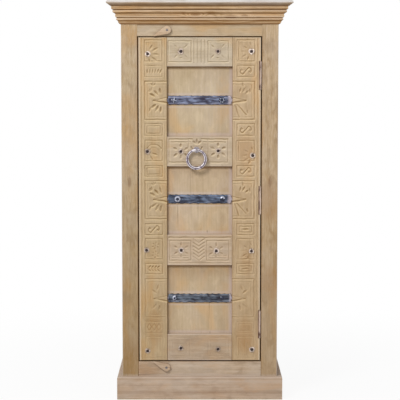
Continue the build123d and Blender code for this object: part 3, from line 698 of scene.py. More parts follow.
def carve_cartouche(carving, low, high, kind):
    """A small field in a border: plain, slanted strokes, a leaf in a frame, a scroll, laurel or diamonds."""
    x, z = (low[0] + high[0]) / 2, (low[1] + high[1]) / 2
    height = high[1] - low[1]
    if kind == "strokes":
        carving.border(low, high, 0.007, 0.0026)
        carving.punched_border(low, high)
        carving.ground(*drawn_in(low, high, 0.006, 0.005))
        for step in range(-2, 4):
            root = (x + step * 0.0112 - 0.007, z - height * 0.3)
            carving.leaf(root, 84 - 4 * (step + 2), height * 0.62, 0.011, 0.0054)
        return
    carving.border(low, high)
    if kind in ("plain", "nested"):
        carving.border(*drawn_in(low, high, 0.0095 if kind == "plain" else 0.012), 0.008)
        if kind == "nested":
            carving.leaf((x - 0.02, z), 0, 0.04, 0.011, 0.0046)
    elif kind == "scroll":
        for hand, angle in ((1, 0), (-1, 180)):
            carving.arc((x + hand * 0.013, z + hand * 0.003), 0.012, angle - 55, angle + 95, 0.008, 0.0046)
            carving.leaf((x + hand * 0.01, z - hand * 0.0075), angle + 35, 0.018, 0.008, 0.004)
        carving.groove((x - 0.013, z - 0.0145), (x + 0.013, z + 0.0145), 0.0085, 0.0042)
    elif kind == "laurel":
        carving.groove((x - 0.03, z), (x + 0.026, z), 0.006, 0.003)
        for node in (-0.028, -0.014, 0.0, 0.014):
            carving.spread((x + node, z), -1, ((46, 0, 0.022), (-46, 0, 0.022)), 0.01, 0.0052)
    else:
        for step in (-1, 0, 1):
            left, middle, right = (x + step * 0.022 + off for off in (-0.01, 0.0, 0.01))
            for top in (0.016, -0.016):
                carving.path([(left, z), (middle, z + top), (right, z)], 0.008, 0.0042)


def carve_long(carving, outer, mouth, low, high, strap, side, kind):
    """A long field open towards the panel, with a spike at the strap and leaves spread round it."""
    edge = mouth - side * 0.018
    for inset, width, depth in ((0.0, 0.009, 0.0038), (0.013, 0.007, 0.0022)):
        wall, foot, head = outer - side * inset, low + inset, high - inset
        carving.path([(edge, foot), (wall, foot), (wall, head), (edge, head)], width, depth)
    tip = mouth + side * 0.04
    carving.groove((edge, strap + 0.0115), (tip, strap - 0.001), 0.0075, 0.0036)
    carving.groove((edge, strap - 0.0125), (tip, strap - 0.002), 0.0115, 0.006)
    heart = (mouth, strap)
    if kind == "flower":
        carving.spread(heart, -side, ((26, 0.034, 0.034), (50, 0.026, 0.036), (78, 0.026, 0.034)))
        carving.spread(heart, -side, ((-36, 0.03, 0.04), (-58, 0.026, 0.04), (-80, 0.026, 0.036)))
        for across, height, start in ((0.048, 0.04, 100), (0.04, 0.064, 60)):
            root = (mouth + side * across, strap + height)
            carving.spread(root, -1, [(start + step * 38, 0, 0.02) for step in range(3)], 0.009, 0.0044)
        carving.leaf((mouth + side * 0.052, strap - 0.028), 270 + side * 20, 0.03, 0.012, 0.0044)
    elif kind == "rays":
        carving.spread((edge, strap), -side, ((-48, 0.026, 0.064), (-70, 0.024, 0.06)), 0.0085, 0.004, "V")
        fan = ((56, 0.04, 0.034), (38, 0.046, 0.026), (72, 0.034, 0.03))
        carving.spread(heart, -side, fan, 0.012, 0.0046)
        for across, height, angle in ((0.046, -0.04, 282), (0.06, 0.03, 90), (0.03, 0.058, 104)):
            carving.leaf((mouth + side * across, strap + height), angle, 0.026, 0.011, 0.0044)
    else:
        fan = ((40, 0.032, 0.036), (-44, 0.034, 0.04), (-70, 0.03, 0.034))
        carving.spread(heart, -side, fan, 0.013, 0.0046)
        carving.leaf((mouth + side * 0.028, strap + 0.034), 90 + side * 16, 0.034, 0.012, 0.0046)


# Each field: its kind, foot and head, and what is cut in it on the left and on the right stile
STILE_FIELDS = (
    ("square", 1.575, 1.671, "fan", "lines"), ("cartouche", 1.504, 1.555, "strokes", "scroll"),
    ("long", 1.307, 1.482, "flower", "rays"), ("cartouche", 1.234, 1.2875, "plain", "scroll"),
    ("square", 1.1175, 1.211, "arcs", "lines"), ("cartouche", 1.045, 1.094, "plain", "scroll"),
    ("long", 0.847, 1.024, "flower", "rays"), ("cartouche", 0.773, 0.824, "scroll", "nested"),
    ("square", 0.659, 0.754, "flowers", "lines"), ("cartouche", 0.59, 0.638, "laurel", "nested"),
    ("long", 0.386, 0.566, "faint", "faint"), ("cartouche", 0.313, 0.365, "diamonds", "plain"),
    ("square", 0.194, 0.294, "worn", "worn"),
)
STILE_STUDS = {
    -1: ((-0.239, 1.6085), (-0.2415, 1.16075), (-0.247, 0.702), (-0.2435, 0.2265)),
    1: ((0.2375, 1.62), (0.2445, 1.14225), (0.2405, 0.6975), (0.2445, 0.2325)),
}


def carved_stile(name, side):
    """Carve one stile, its fields in a row from the head to the foot, more worn towards the foot."""
    edges, zone = sorted((side * door_outer, side * door_inner)), sorted((side * 0.276, side * 0.1525))
    foot, head = span("door_stile_left")
    carving = Carving(fine_lines(*edges, *zone, 0.00155), fine_lines(foot, head, 0.186, 1.68, 0.00172))
    outer, mouth = side * 0.2525, side * 0.1722
    left, right = sorted((outer, mouth))
    for kind, low, high, left_kind, right_kind in STILE_FIELDS:
        marks = left_kind if side < 0 else right_kind
        middle = (low + high) / 2
        if kind == "long":
            strap = min(STRAP_HEIGHTS, key=lambda height: abs(height - middle))
            carve_long(carving, outer, mouth, low, high, strap, side, marks)
        elif kind == "square":
            stud = min(STILE_STUDS[side], key=lambda spot: abs(spot[1] - middle))
            carve_square(carving, (left, low), (right, high), stud, side, marks)
        else:
            carve_cartouche(carving, (left, low), (right, high), marks)
    carving.groove((side * 0.267, 0.187), (side * 0.267, 1.679), 0.008, 0.0026)
    for low, high in ((1.49, 1.679), (1.03, 1.299), (0.572, 0.84), (0.187, 0.38)):
        carving.groove((side * 0.16, low), (side * 0.16, high), 0.006, 0.0022)
    fade = np.interp(carving.upward, (0.18, 0.38, 0.62, 0.8), (0.45, 0.62, 0.95, 1.05))
    return carved_board(name, carving, carving.rubbed(1) * fade[:, None], 0.002, 0.0012, side * 1.3)


stiles = {side: carved_stile(f"carved_stile_{name}", side) for side, name in ((-1, "left"), (1, "right"))}

# The right stile is notched for the hinge knuckles and mortised for their leaves
for place in ("bottom", "middle", "top"):
    centre = sum(span(f"hinge_{place}_door_leaf")) / 2
    for inner, depth, reach in ((0.2716, 0.0056, 0.0661), (0.2786, 0.0256, 0.063)):
        low, high = (inner, FACE - 0.01, centre - reach), (0.29, FACE + depth, centre + reach)
        bpy.ops.object.select_all(action="DESELECT")
        bpy.ops.mesh.primitive_cube_add(size=1, location=[(a + b) / 2 for a, b in zip(low, high)])
        cutter = bpy.context.object
        cutter.scale = [b - a for a, b in zip(low, high)]
        notch = stiles[1].modifiers.new("notch", "BOOLEAN")
        notch.object = cutter
        notch.solver = "EXACT"
        bpy.context.view_layer.objects.active = stiles[1]
        bpy.ops.object.modifier_apply(modifier=notch.name)
        bpy.data.objects.remove(cutter)

for side, name, seed, tint, dusk, stains in (
    (-1, "left", 50.0, (186, 162, 126), 0.13, [(-0.21, 0.34, 0.05)]),
    (
        1, "right", 52.0, (192, 166, 131), 0.18,
        [(0.21, 1.165, 0.055), (0.21, 0.3, 0.055), (0.22, 0.64, 0.04)],
    ),
):
    # The pale line down the outer edge is a painted highlight on its rounded arris, and the dark line along
    # the inner edge is painted shade beside the panel. The cuts carry painted shade and highlights.
    stiles[side].data.materials.append(
        limed_wood(
            f"carved_stile_{name}", "z", seed, tint, lime=0.35, rings=0.0, figure=0.7, stains=stains,
            pale=[("x", side * 0.278, 0.007, 0.8), ("z", RAIL_SPANS[-1][1], 0.004)], dusk=dusk, carved=True,
            grimy=[("x", side * door_inner, 0.0025)], wash=(210, 190, 163),
        )
    )
    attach(stiles[side], "door")
    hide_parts(f"door_stile_{name}")

# --- Carved door rails -----------------------------------------------------------------------------
# Four short boards between the stiles. Each has a squared field round either stud and, between them,
# fluting at the top, a double border over the ring, a herringbone below, and almost nothing at the foot.

# Each rail: its left and right stud, its tint and how much lime it has kept
RAILS = (
    ("bottom", (-0.088, 0.2395), (0.0855, 0.235), (179, 156, 130), 0.3),
    ("lower", (-0.086, 0.701), (0.077, 0.6985), (188, 165, 138), 0.4),
    ("upper", (-0.087, 1.16075), (0.0855, 1.16375), (192, 172, 145), 0.4),
    ("top", (-0.0865, 1.62), (0.0835, 1.62), (191, 174, 147), 0.6),
)
for seed, (name, left_stud, right_stud, tint, lime) in enumerate(RAILS):
    low, high = RAIL_SPANS[seed]
    carving = Carving(
        fine_lines(-door_inner, door_inner, -0.1485, 0.1485, 0.00155),
        fine_lines(low, high, low + 0.0025, high - 0.0025, 0.0015),
    )
    strength = 1.0
    if name == "top":
        for left, right, stud in ((-0.144, -0.039, left_stud), (0.0388, 0.132, right_stud)):
            carving.border((left, low + 0.02), (right, high - 0.017))
            carving.ground((left + 0.006, low + 0.026), (right - 0.006, high - 0.023))
            carve_rosette(carving, stud, 4, 45, 0.017, 0.032)
            carving.leaf((stud[0] - 0.012, stud[1] - 0.03), 0, 0.024, 0.009, 0.0046)
        for flute in (-0.026, -0.009, 0.008, 0.024):
            carving.groove((flute, low + 0.016), (flute, high - 0.012), depth=0.0026)
    elif name == "upper":
        for start, end in ((-0.141, -0.032), (0.006, 0.13)):
            carving.groove((start, high - 0.012), (end, high - 0.012), 0.0095, 0.0042)
            carving.groove((start + 0.01, high - 0.025), (end - 0.01, high - 0.025), 0.0075, 0.0036)
        for start, end in ((-0.141, -0.052), (0.038, 0.13)):
            carving.groove((start, low + 0.018), (end, low + 0.018), 0.0085, 0.0036)
            for edge in (start, end):
                carving.groove((edge, low + 0.018), (edge, high - 0.012), 0.008, 0.0032)
        for stud in (left_stud, right_stud):
            carving.spread(stud, -1, [(angle, 0.016, 0.026) for angle in (25, 155, 215, 325)])
            carving.spread(stud, -1, ((90, 0.016, 0.022), (270, 0.016, 0.022)))
        crest = ((38, 0, 0.03), (90, 0, 0.03), (142, 0, 0.03))
        carving.spread((-0.013, high - 0.036), -1, crest, 0.014, 0.0058)
        carving.arc((-0.013, high - 0.04), 0.026, 200, 340, 0.009, 0.005)
    elif name == "lower":
        carving.groove((-0.143, high - 0.013), (0.143, high - 0.013), 0.009, 0.004)
        carving.groove((-0.143, low + 0.01), (0.143, low + 0.01), 0.007, 0.0022)
        for left, right, stud in ((-0.139, -0.041, left_stud), (0.032, 0.135, right_stud)):
            carving.border((left, low + 0.022), (right, high - 0.028), 0.008, 0.003)
            carve_rosette(carving, stud, 6, 30, 0.017, 0.024, depth=0.004)
            for height in (low + 0.034, low + 0.0445):
                carving.groove((left + 0.012, height), (right - 0.012, height), 0.007, 0.0024)
        for row in range(6):
            height = low + 0.022 + row * 0.0165
            carving.path([(-0.03, height + 0.018), (-0.004, height), (0.022, height + 0.018)], 0.008, 0.0032)
    else:
        strength = 0.5
        for left, right in ((-0.139, -0.045), (0.04, 0.136)):
            corners = (left, low + 0.02), (right, high - 0.016)
            carving.border(*corners, 0.008, 0.0032)
            carving.border(*drawn_in(*corners, 0.013), 0.007, 0.0022)
    rail = carved_board(f"carved_rail_{name}", carving, carving.rubbed(1, strength), 0, 0.0015, 2.1 + seed)
    # The cuts carry painted shade, and painted highlights on their facets that face up
    rail.data.materials.append(
        limed_wood(
            f"carved_rail_{name}", "x", 60.0 + seed, tint, lime=lime, rings=0.0, figure=0.7, carved=True,
            pale=[("z", low, 0.004), ("z", high, 0.003)],
            grimy=[("x", -door_inner, 0.003), ("x", door_inner, 0.003)],
        )
    )
    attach(rail, "door")
    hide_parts(f"door_rail_{name}")

# --- Straps ----------------------------------------------------------------------------------------
# Three flat bars of forged iron over the panels, drawn out by the hammer so that their edges wave. Their
# ends are let into the stiles and keep some lime wash. They are dark in the hollows and rubbed blue grey
# on top, with painted highlights in flecks along their top and bottom edges and on what faces up. They
# are darker along the edges themselves.


def forged_iron(name, dark, bright, rough, seed, hammer, level, rubbed=(), darkened=()):
    """Iron drawn out under the hammer: dark scale in the hollows and a rubbed, brighter skin.

    Along the rubbed marks it is worn in flecks to a pale lilac grey, which along the edges of the straps
    stands as a painted highlight. Along the darkened marks it is darker. What faces up gets a painted
    highlight."""
    iron = Finish(bpy.data.materials.new(f"iron_{name}"), {"Metallic": 0.55, "Specular IOR Level": 0.5})
    x, y, z, point = iron.place()
    shift = (seed, seed * 1.7, seed * 0.6)
    drawn = iron.noise(point, shift, hammer, 4.0, 0.4, (0.2, 1.0, 1.1))
    scale = iron.noise(point, shift, hammer * 5.0, 4.0)
    hollow, ledge = iron.reading("hollow"), iron.reading("ledge")
    # The ledge reading adds a painted highlight on what faces up
    rub = (drawn * 0.8 + scale * 0.2 - hollow * 0.12 + ledge * 0.12).between(level - 0.16, level + 0.26)
    coats = [
        (rub, srgb(bright)), (scale.between(0.62, 0.74) * 0.4, srgb(dark)),
        (hollow.between(0.1, 0.6) * 0.8, toned(dark, 2, -10, -16)),
    ]
    if rubbed:
        fleck = iron.noise(point, shift, hammer * 3.0, 2.0, 0.5, (0.5, 1.0, 1.0)) * 0.4 + drawn * 0.9
        coats += [
            (wear(x, y, z, darkened) * fleck.between(0.74, 0.6), toned(dark, -8, -8, -8)),
            ((wear(x, y, z, rubbed) * 1.3 + fleck - 0.95).between(0.0, 0.7), srgb((170, 160, 168))),
        ]
    roughness = rough + scale * 0.2 - rub * 0.1
    return iron.surface(iron.painted(srgb(dark), coats), roughness, drawn + scale * 0.3, 0.001)


def hammered(x, z, blows, dice, size, depth):
    """The hollows of so many hammer blows, scattered over the grid."""
    dents = np.zeros_like(x)
    for _ in range(blows):
        bx, bz = dice.uniform(x.min(), x.max()), dice.uniform(z.min(), z.max())
        reach = size * dice.uniform(0.7, 1.3)
        blow = 1 - ((x - bx) ** 2 + ((z - bz) * dice.uniform(1.0, 1.6)) ** 2) / reach**2
        dents = np.maximum(dents, depth * dice.uniform(0.5, 1.0) * np.clip(blow, 0, 1))
    return dents


def join_to(base):
    """Join the piece just made to another one."""
    base.select_set(True)
    bpy.context.view_layer.objects.active = base
    bpy.ops.object.join()


# Each strap: its dark and bright tones, how little of it is rubbed, the depth of its scallops, how strong
# the painted highlights along its edges are, how far the wear reaches in from its right end, and how dark
# its outline is
STRAPS = (
    ("bottom", (36, 36, 48), (112, 122, 136), 0.51, 0.0013, 0.4, 0.022, 1.0),
    ("middle", (36, 40, 56), (116, 130, 154), 0.5, 0.0006, 0.4, 0.04, 0.95),
    ("top", (50, 48, 66), (138, 148, 176), 0.49, 0.0006, 0.5, 0.038, 0.6),
)
for seed, (name, dark, bright, level, scallop, edge, reach, outline) in enumerate(STRAPS):
    height = STRAP_HEIGHTS[seed]
    dice = random.Random(70 + seed)
    u, v = np.meshgrid(np.linspace(-1, 1, 150), np.linspace(-1, 1, 26))
    x = u * (0.146 + 0.0008 * np.sin(v * 3 + seed))
    corner = np.clip((np.abs(u) - 0.966) / 0.034, 0, 1)
    half = 0.0218 - 0.0035 * corner**2
    foot_wave = 0.0006 * (np.sin(x * 170 + seed * 3) - 1)
    half = half + np.where(v > 0, scallop * (np.sin(x * 232 + seed * 2) - 1), foot_wave)
    half = half - 0.0005 * (1 + np.sin(x * 57 + seed * 5) * np.sin(x * 410 + v * 2))
    z = height + v * half + 0.0002 * np.sin(x * 37 + seed)
    crown = 0.0006 - 0.0014 * np.clip(1 - v**2, 0, 1) ** 0.5
    twist = 0.0006 * np.sin(x * 160 + v * 2.6 + seed * 1.9)
    y = FACE + 0.0104 + crown + twist + hammered(x * 0.5, z, 60, dice, 0.008, 0.0011)
    y = y + 0.0016 * np.clip((np.abs(v) - 0.86) / 0.14, 0, 1) ** 2
    strap = shaped_plate(f"forged_strap_{name}", x, y, z, FACE + 0.0139)
    for side in (-1, 1):
        tongue = (side * 0.154, FACE + 0.012, height)
        bpy.ops.object.select_all(action="DESELECT")
        bpy.ops.mesh.primitive_cube_add(size=1, location=tongue)
        bpy.ops.object.mode_set(mode="EDIT")
        bpy.ops.transform.resize(value=(0.018, 0.0036, 0.014), center_override=tongue)
        bpy.ops.mesh.bevel(offset=0.0006, segments=2)
        bpy.ops.object.mode_set(mode="OBJECT")
        bpy.ops.object.transform_apply()
        join_to(strap)
    # The lines along the top and bottom edges are painted highlights, pale flecks where the scallops would
    # catch the light. At the ends the iron is worn pale.
    rubbed = [
        ("z", height + 0.013, 0.003, edge), ("z", height - 0.014, 0.003, edge), ("x", 0.15, reach, 1.0),
        ("x", -0.148, 0.006, 0.6),
    ]
    darkened = [("z", height + 0.0205, 0.0085, outline), ("z", height - 0.021, 0.0085, outline)]
    strap.data.materials.clear()
    strap.data.materials.append(
        forged_iron(f"strap_{name}", dark, bright, 0.42, 5.0 + seed, 85.0, level, rubbed, darkened)
    )
    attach(strap, "door")
    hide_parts(f"strap_{name}")

# --- Strap nails -----------------------------------------------------------------------------------
# Two forged nails hold each strap: a diamond and a beaded rose on the top one, domes with a chased ring
# on the middle one and plainer heads below, all of brighter iron than the bar. Their facets carry
# painted highlight and painted shade by the way each faces.

# The bright nail iron also serves as painted highlight and the dark iron as painted shade on the facets. The
# dark iron colours the sunk eyes too.
nail_iron = forged_iron("nails", (116, 116, 132), (206, 210, 226), 0.38, 9.0, 260.0, 0.4)
dark_iron = forged_iron("nail_eyes_and_shade", (30, 32, 44), (70, 76, 98), 0.5, 9.5, 260.0, 0.5)


def select_front(piece):
    """Select the faces of the active piece that look forward, and leave it in edit mode."""
    bpy.ops.object.mode_set(mode="EDIT")
    bpy.ops.mesh.select_mode(type="FACE")
    bpy.ops.mesh.select_all(action="DESELECT")
    bpy.ops.object.mode_set(mode="OBJECT")
    for face in piece.data.polygons:
        face.select = face.normal.y < -0.9
    bpy.ops.object.mode_set(mode="EDIT")


def nail_head(name, place, sides, radius, rise, top, turn, sunk, beads, rubbed):
    """One nail head, upset from a cone and squared off by the hammer, with a dark sunk eye.

    Its facets carry a painted highlight where they face the given way, (x, z), by at least the amount
    given, and painted shade elsewhere. A diamond has its painted highlight only along its arrises and
    painted shade on its broad facets."""
    bpy.ops.object.select_all(action="DESELECT")
    base = FACE + 0.0106
    bpy.ops.mesh.primitive_cone_add(
        vertices=sides, radius1=radius, radius2=radius * top, depth=rise,
        location=(place[0], base - rise / 2, place[1]), rotation=(math.pi / 2, math.radians(turn), 0),
    )
    nail = bpy.context.object
    nail.name = nail.data.name = name
    nail.data.materials.append(nail_iron)
    nail.data.materials.append(dark_iron)
    bpy.ops.object.transform_apply()
    select_front(nail)
    if sunk:
        bpy.ops.mesh.inset(thickness=radius * top * 0.34, depth=0)
        nail.active_material_index = 1
        bpy.ops.object.material_slot_assign()
        bpy.ops.mesh.inset(thickness=radius * top * 0.16, depth=-sunk)
    bpy.ops.mesh.select_all(action="SELECT")
    bpy.ops.mesh.bevel(offset=0.0006 if sides > 4 else 0.0013, segments=2)
    bpy.ops.mesh.normals_make_consistent(inside=False)
    bpy.ops.object.mode_set(mode="OBJECT")
    facet = radius**2 * 0.25
    light_x, light_z, least = rubbed
    # Facets turned from the given way get the dark iron, as painted shade
    for face in nail.data.polygons:
        in_painted_shade = face.normal.x * light_x + face.normal.z * light_z < least
        if in_painted_shade or (sides == 4 and face.area > facet):
            face.material_index = 1
    for bead in range(beads):
        around = 2.4 + bead * math.tau / beads
        reach = radius * 0.62
        bead_x, bead_z = place[0] + math.cos(around) * reach, place[1] + math.sin(around) * reach
        bpy.ops.object.select_all(action="DESELECT")
        bpy.ops.mesh.primitive_ico_sphere_add(
            subdivisions=2, radius=0.0027, location=(bead_x, base - rise - 0.0002, bead_z)
        )
        bpy.context.object.data.materials.append(nail_iron)
        bpy.ops.object.transform_apply()
        join_to(nail)
    nail.select_set(True)
    bpy.ops.object.shade_smooth_by_angle(angle=math.radians(30))
    return nail


# Each nail: its x and its strap, how many sides it has, its radius and rise, how wide its top is beside
# its foot, how far it is turned, how deep its eye lies, its beads, and the way its painted highlight faces
NAILS = (
    ("top_left", -0.1185, 2, 4, 0.0155, 0.0052, 0.2, 8, 0.0, 0, (-0.8, 0.6, -0.9)),
    ("top_right", 0.1025, 2, 16, 0.015, 0.0026, 0.86, 0, 0.0008, 7, (0, 0, 1)),
    ("middle_left", -0.103, 1, 18, 0.0148, 0.0042, 0.78, 0, 0.0022, 0, (0, 0, 0)),
    ("middle_right", 0.105, 1, 16, 0.014, 0.0052, 0.46, 0, 0.0006, 0, (0.2, 1.0, 0.2)),
    ("bottom_left", -0.1165, 0, 14, 0.013, 0.0044, 0.6, 0, 0.0012, 0, (-0.9, 0.5, 0.0)),
    ("bottom_right", 0.105, 0, 4, 0.012, 0.003, 0.55, 42, 0.0, 1, (0, 0, 1)),
)
for name, across, row, *form in NAILS:
    nail = nail_head(f"forged_nail_{name}", (across, STRAP_HEIGHTS[row]), *form)
    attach(nail, "door")
    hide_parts("strap_nails")

# --- Studs -----------------------------------------------------------------------------------------
# Sixteen studs pin the door's joints. Each is a thin washer beaten out of sheet, pale with wear, under
# a dark faceted head; no two sit alike.

FACING_FRONT = (math.pi / 2, 0, 0)

bpy.ops.object.select_all(action="DESELECT")
bpy.ops.mesh.primitive_cylinder_add(
    vertices=28, radius=0.0146, depth=0.0016, location=(0, -0.0008, 0), rotation=FACING_FRONT
)
washer = bpy.context.object
bpy.ops.object.transform_apply()
select_front(washer)
for thickness, depth in ((0.0016, 0.0001), (0.0022, -0.0004), (0.0022, 0.0002)):
    bpy.ops.mesh.inset(thickness=thickness, depth=depth)
bpy.ops.object.mode_set(mode="OBJECT")
bpy.ops.mesh.primitive_uv_sphere_add(
    segments=10, ring_count=8, radius=1, location=(0, -0.0012, 0), rotation=FACING_FRONT
)
bpy.context.object.scale = (0.0084, 0.0084, 0.0053)
bpy.ops.object.transform_apply()
bpy.ops.object.mode_set(mode="EDIT")
for cut_y, way in ((-0.0012, 1), (-0.006, -1)):
    bpy.ops.mesh.select_all(action="SELECT")
    bpy.ops.mesh.bisect(plane_co=(0, cut_y, 0), plane_no=(0, way, 0), clear_outer=True, use_fill=True)
bpy.ops.object.mode_set(mode="OBJECT")
join_to(washer)
pattern_stud = washer.data.copy()
bpy.data.objects.remove(washer)

stud_metal = Finish(bpy.data.materials.new("metal_studs"), {"Metallic": 0.5, "Specular IOR Level": 0.5})
x, y, z, point = stud_metal.place()
worn = stud_metal.noise(point, (3.0, 1.0, 2.0), 90.0)
fleck = stud_metal.noise(point, (1.0, 5.0, 2.0), 420.0, 2.0)
raised = y.between(FACE - 0.0021, FACE - 0.0027)
rubbed = worn.between(0.38, 0.58) * stud_metal.reading("bright")
head = stud_metal.painted(srgb((46, 34, 34)), [(fleck.between(0.55, 0.75) * 0.5, srgb((136, 126, 130)))])
colour = stud_metal.painted(srgb((146, 126, 108)), [(rubbed, srgb((240, 224, 212))), (raised, head)])
stud_metal.surface(colour, 0.38 + worn * 0.25, worn + fleck * 0.4, 0.0008)

RAIL_STUDS = [spot for rail in RAILS for spot in rail[1:3]]
BRIGHTNESS = (0.85, 0.3, 0.45, 0.5, 1.0, 0.6, 0.65, 0.7, 0.4, 0.2, 0.65, 0.65, 0.6, 0.5, 0.45, 0.35)
dice = random.Random(16)
for number, (stud_x, stud_z) in enumerate([*STILE_STUDS[-1], *STILE_STUDS[1], *RAIL_STUDS]):
    mesh = pattern_stud.copy()
    write_reading(mesh, "bright", [BRIGHTNESS[number]] * len(mesh.vertices))
    turn = dice.uniform(0, math.tau)
    c, s = math.cos(turn), math.sin(turn)
    size = dice.uniform(0.84, 0.94) + 0.06 * (number == 4)
    for corner in mesh.vertices:
        a, b, out = corner.co.x, corner.co.z, corner.co.y
        bent = 1 + 0.05 * math.sin(3 * math.atan2(b, a) + turn) + dice.uniform(-0.02, 0.02)
        a, b = a * bent * size, b * bent * size
        flat = out - dice.uniform(0, 0.0002) if out < -0.001 else out
        corner.co = (stud_x + a * c - b * s, FACE + flat + 0.0002, stud_z + a * s + b * c)
    stud = bpy.data.objects.new(f"forged_stud_{number + 1}", mesh)
    bpy.context.collection.objects.link(stud)
    mesh.name = stud.name
    mesh.materials.append(stud_metal.holder)
    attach(stud, "door")
    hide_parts("door_studs")

# --- Ring pull -------------------------------------------------------------------------------------
# A forged ring, thickest at the foot, hung in an eye over a dished rose. Bright lines round it on
# either side of the front are a painted reflection, with dark patches down the front as a painted
# reflection too. A painted highlight lies where it hangs, and its flanks are nearly black with painted
# shade. The eye's legs are clenched behind the rail.

outer_radius, wire_centre = 0.049, 0.0427
low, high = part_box("ring_pull")
centre = (low + high) / 2
bpy.ops.object.select_all(action="DESELECT")
bpy.ops.mesh.primitive_torus_add(
    location=centre, rotation=FACING_FRONT, major_segments=110, minor_segments=24,
    major_radius=wire_centre, minor_radius=0.006,
)
ring = bpy.context.object
ring.name = ring.data.name = "forged_ring"
bpy.ops.object.transform_apply()
dice = random.Random(42)
blows = [(dice.uniform(0, math.tau), dice.uniform(0, math.tau), dice.uniform(0.25, 0.5)) for _ in range(60)]
turned_away = []
for corner in ring.data.vertices:
    off = corner.co - centre
    round_ring = math.atan2(off.z, off.x)
    round_wire = math.atan2(off.y, math.hypot(off.x, off.z) - wire_centre)
    turned_away.append(math.acos(min(1.0, abs(math.sin(round_wire)))))
    thick = 0.0063 + 0.001 * min(max(0.8 - math.sin(round_ring), 0), 1)
    wire = thick - 0.00008 * (1 - math.sin(round_ring * 5 + 1))
    for where, turn, strength in blows:
        a = (round_ring - where + math.pi) % math.tau - math.pi
        b = (round_wire - turn + math.pi) % math.tau - math.pi
        wire -= 0.0012 * strength * max(1 - (a * 7) ** 2 - (b * 1.3) ** 2, 0)
    reach = outer_radius - thick + math.cos(round_wire) * wire
    away = (math.cos(round_ring) * reach, math.sin(round_wire) * wire, math.sin(round_ring) * reach)
    corner.co = centre + Vector(away)
bpy.ops.object.shade_smooth_by_angle(angle=math.radians(60))
write_reading(ring.data, "turn", turned_away)

ring_iron = Finish(bpy.data.materials.new("iron_ring"), {"Metallic": 0.35, "Specular IOR Level": 0.5})
x, y, z, point = ring_iron.place()
turn = ring_iron.reading("turn")
worn = ring_iron.noise(point, (2.0, 1.0, 7.0), 150.0, 3.0, 0.3)
patch = ring_iron.noise(point, (6.0, 2.0, 1.0), 60.0, 3.0, 0.3)
fleck = ring_iron.noise(point, (4.0, 1.0, 2.0), 500.0)
# A painted highlight at the top, where the ring hangs in the eye, and painted reflection in bright bands
# either side of the front
painted_glint = x.near(-0.021, 0.02) * z.near(1.164, 0.0085)
rubbed = (turn.near(0.72, 0.48) * patch.between(0.36, 0.5)).math("MAXIMUM", painted_glint)
# The flanks darkened with painted shade, dark patches down the front as painted reflection, then the bright
# painted reflection and highlight
coats = (
    (worn.between(0.36, 0.58), srgb((172, 160, 168))), (turn.between(0.95, 1.45) * 0.8, srgb((62, 46, 56))),
    (turn.between(0.38, 0.12) * patch.between(0.66, 0.5) * 0.9, srgb((78, 62, 78))),
    (rubbed, srgb((252, 248, 252))),
)
colour = ring_iron.painted(srgb((104, 90, 102)), coats)
ring_iron.surface(colour, 0.5 - rubbed * 0.2 + fleck * 0.15, worn + fleck * 0.3, 0.0008)
ring.data.materials.append(ring_iron.holder)
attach(ring, "ring")
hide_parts("ring_pull")

rose_iron = forged_iron("rose", (104, 92, 102), (214, 208, 216), 0.36, 4.0, 180.0, 0.44)
for name, iron in (("ring_eye", rose_iron), ("ring_rose", rose_iron), ("ring_clench_plate", dark_iron)):
    finish_node(name, iron)

# --- Hinges ----------------------------------------------------------------------------------------
# Three butt hinges with loose pins: one leaf in the door's edge, the other on the frame, each held by
# countersunk screws. The knuckles show at the front, dull and worn, with a painted highlight down the
# front of each.

hinge_iron = Finish(bpy.data.materials.new("iron_hinges"), {"Metallic": 0.25, "Specular IOR Level": 0.4})
x, y, z, point = hinge_iron.place()
worn = hinge_iron.noise(point, (3.0, 5.0, 2.0), 90.0, 3.0, 0.3, (1.0, 1.0, 0.3))
fleck = hinge_iron.noise(point, (3.0, 2.0, 2.0), 500.0)
# A painted highlight down the front of each knuckle
knuckle_highlight = y.between(FACE + 0.001, FACE - 0.0024) * x.near(0.2808, 0.0034)
coats = (
    (worn.between(0.4, 0.6), srgb((160, 134, 116))),
    (knuckle_highlight * worn.between(0.28, 0.46), srgb((238, 216, 200))),
)
colour = hinge_iron.painted(srgb((98, 70, 58)), coats)
hinge_iron.surface(colour, 0.55 - knuckle_highlight * 0.15 + fleck * 0.15, worn + fleck * 0.4, 0.0005)
for name in nodes:
    if name.startswith("hinge_"):
        finish_node(name, hinge_iron.holder)

# --- Turn buttons ----------------------------------------------------------------------------------
# Two drops whittled from scraps of the same wood, each turning on a washer and one dome screw. They
# are turned over the door to keep it shut, and aside to let it open.

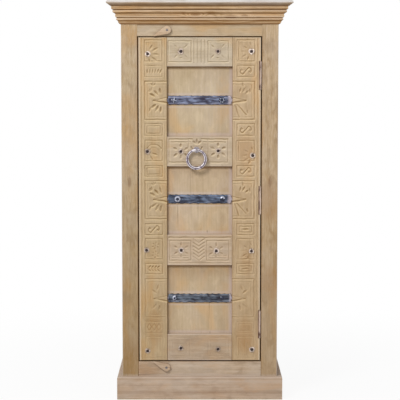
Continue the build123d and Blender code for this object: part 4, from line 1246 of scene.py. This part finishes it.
# Each button: its pivot, the angle it points to, its seed and its tint
BUTTONS = (
    ("top", (-0.1495, 1.717), 204, 71.0, (186, 159, 130)),
    ("bottom", (-0.1555, 0.149), 156, 72.0, (182, 156, 130)),
)
for name, (pivot_x, pivot_z), points_to, seed, tint in BUTTONS:
    way = math.radians(points_to)
    tip_x, tip_z = pivot_x + math.cos(way) * 0.065, pivot_z + math.sin(way) * 0.065
    bpy.ops.object.select_all(action="DESELECT")
    bpy.ops.mesh.primitive_cylinder_add(
        vertices=40, radius=0.019, depth=0.0072, location=(pivot_x, FACE - 0.0063, pivot_z),
        rotation=FACING_FRONT,
    )
    button = bpy.context.object
    button.name = button.data.name = f"whittled_button_{name}"
    bpy.ops.mesh.primitive_cylinder_add(
        vertices=12, radius=0.003, depth=0.0072, location=(tip_x, FACE - 0.0063, tip_z),
        rotation=FACING_FRONT,
    )
    join_to(button)
    bpy.ops.object.transform_apply()
    bpy.ops.object.mode_set(mode="EDIT")
    bpy.ops.mesh.select_all(action="SELECT")
    bpy.ops.mesh.convex_hull()
    bpy.ops.mesh.select_all(action="SELECT")
    bpy.ops.mesh.dissolve_limited(angle_limit=math.radians(2))
    select_front(button)
    bpy.ops.mesh.inset(thickness=0.0015, depth=0.002)
    bpy.ops.mesh.inset(thickness=0.0009, depth=0.0002)
    bpy.ops.mesh.select_all(action="SELECT")
    bpy.ops.mesh.normals_make_consistent(inside=False)
    bpy.ops.object.mode_set(mode="OBJECT")
    dice = random.Random(seed)
    # The back rim reads as a deep cut, so the wood paints it dark as a painted shade outline; the front edge
    # reads as a rubbed arris and is painted pale
    painted_outline = []
    for corner in button.data.vertices:
        corner.co.x += dice.uniform(-0.0003, 0.0003)
        corner.co.z += dice.uniform(-0.0003, 0.0003)
        out = FACE - corner.co.y
        painted_outline.append(1.6 if out < 0.0092 else 0.2 if out < 0.011 else -0.6)
    write_reading(button.data, "hollow", painted_outline)
    bpy.ops.object.shade_smooth_by_angle(angle=math.radians(24))
    button.data.materials.clear()
    button.data.materials.append(
        limed_wood(f"turn_button_{name}", "x", seed, tint, lime=0.6, rings=0.3, figure=1.2, carved=True)
    )
    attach(button, f"button_{name}")
    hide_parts(f"turn_button_{name}")
button_iron = forged_iron("button_screws", (70, 62, 66), (168, 160, 160), 0.4, 6.0, 300.0, 0.5)
for name in ("turn_button_screws", "turn_button_washers"):
    finish_node(name, button_iron)
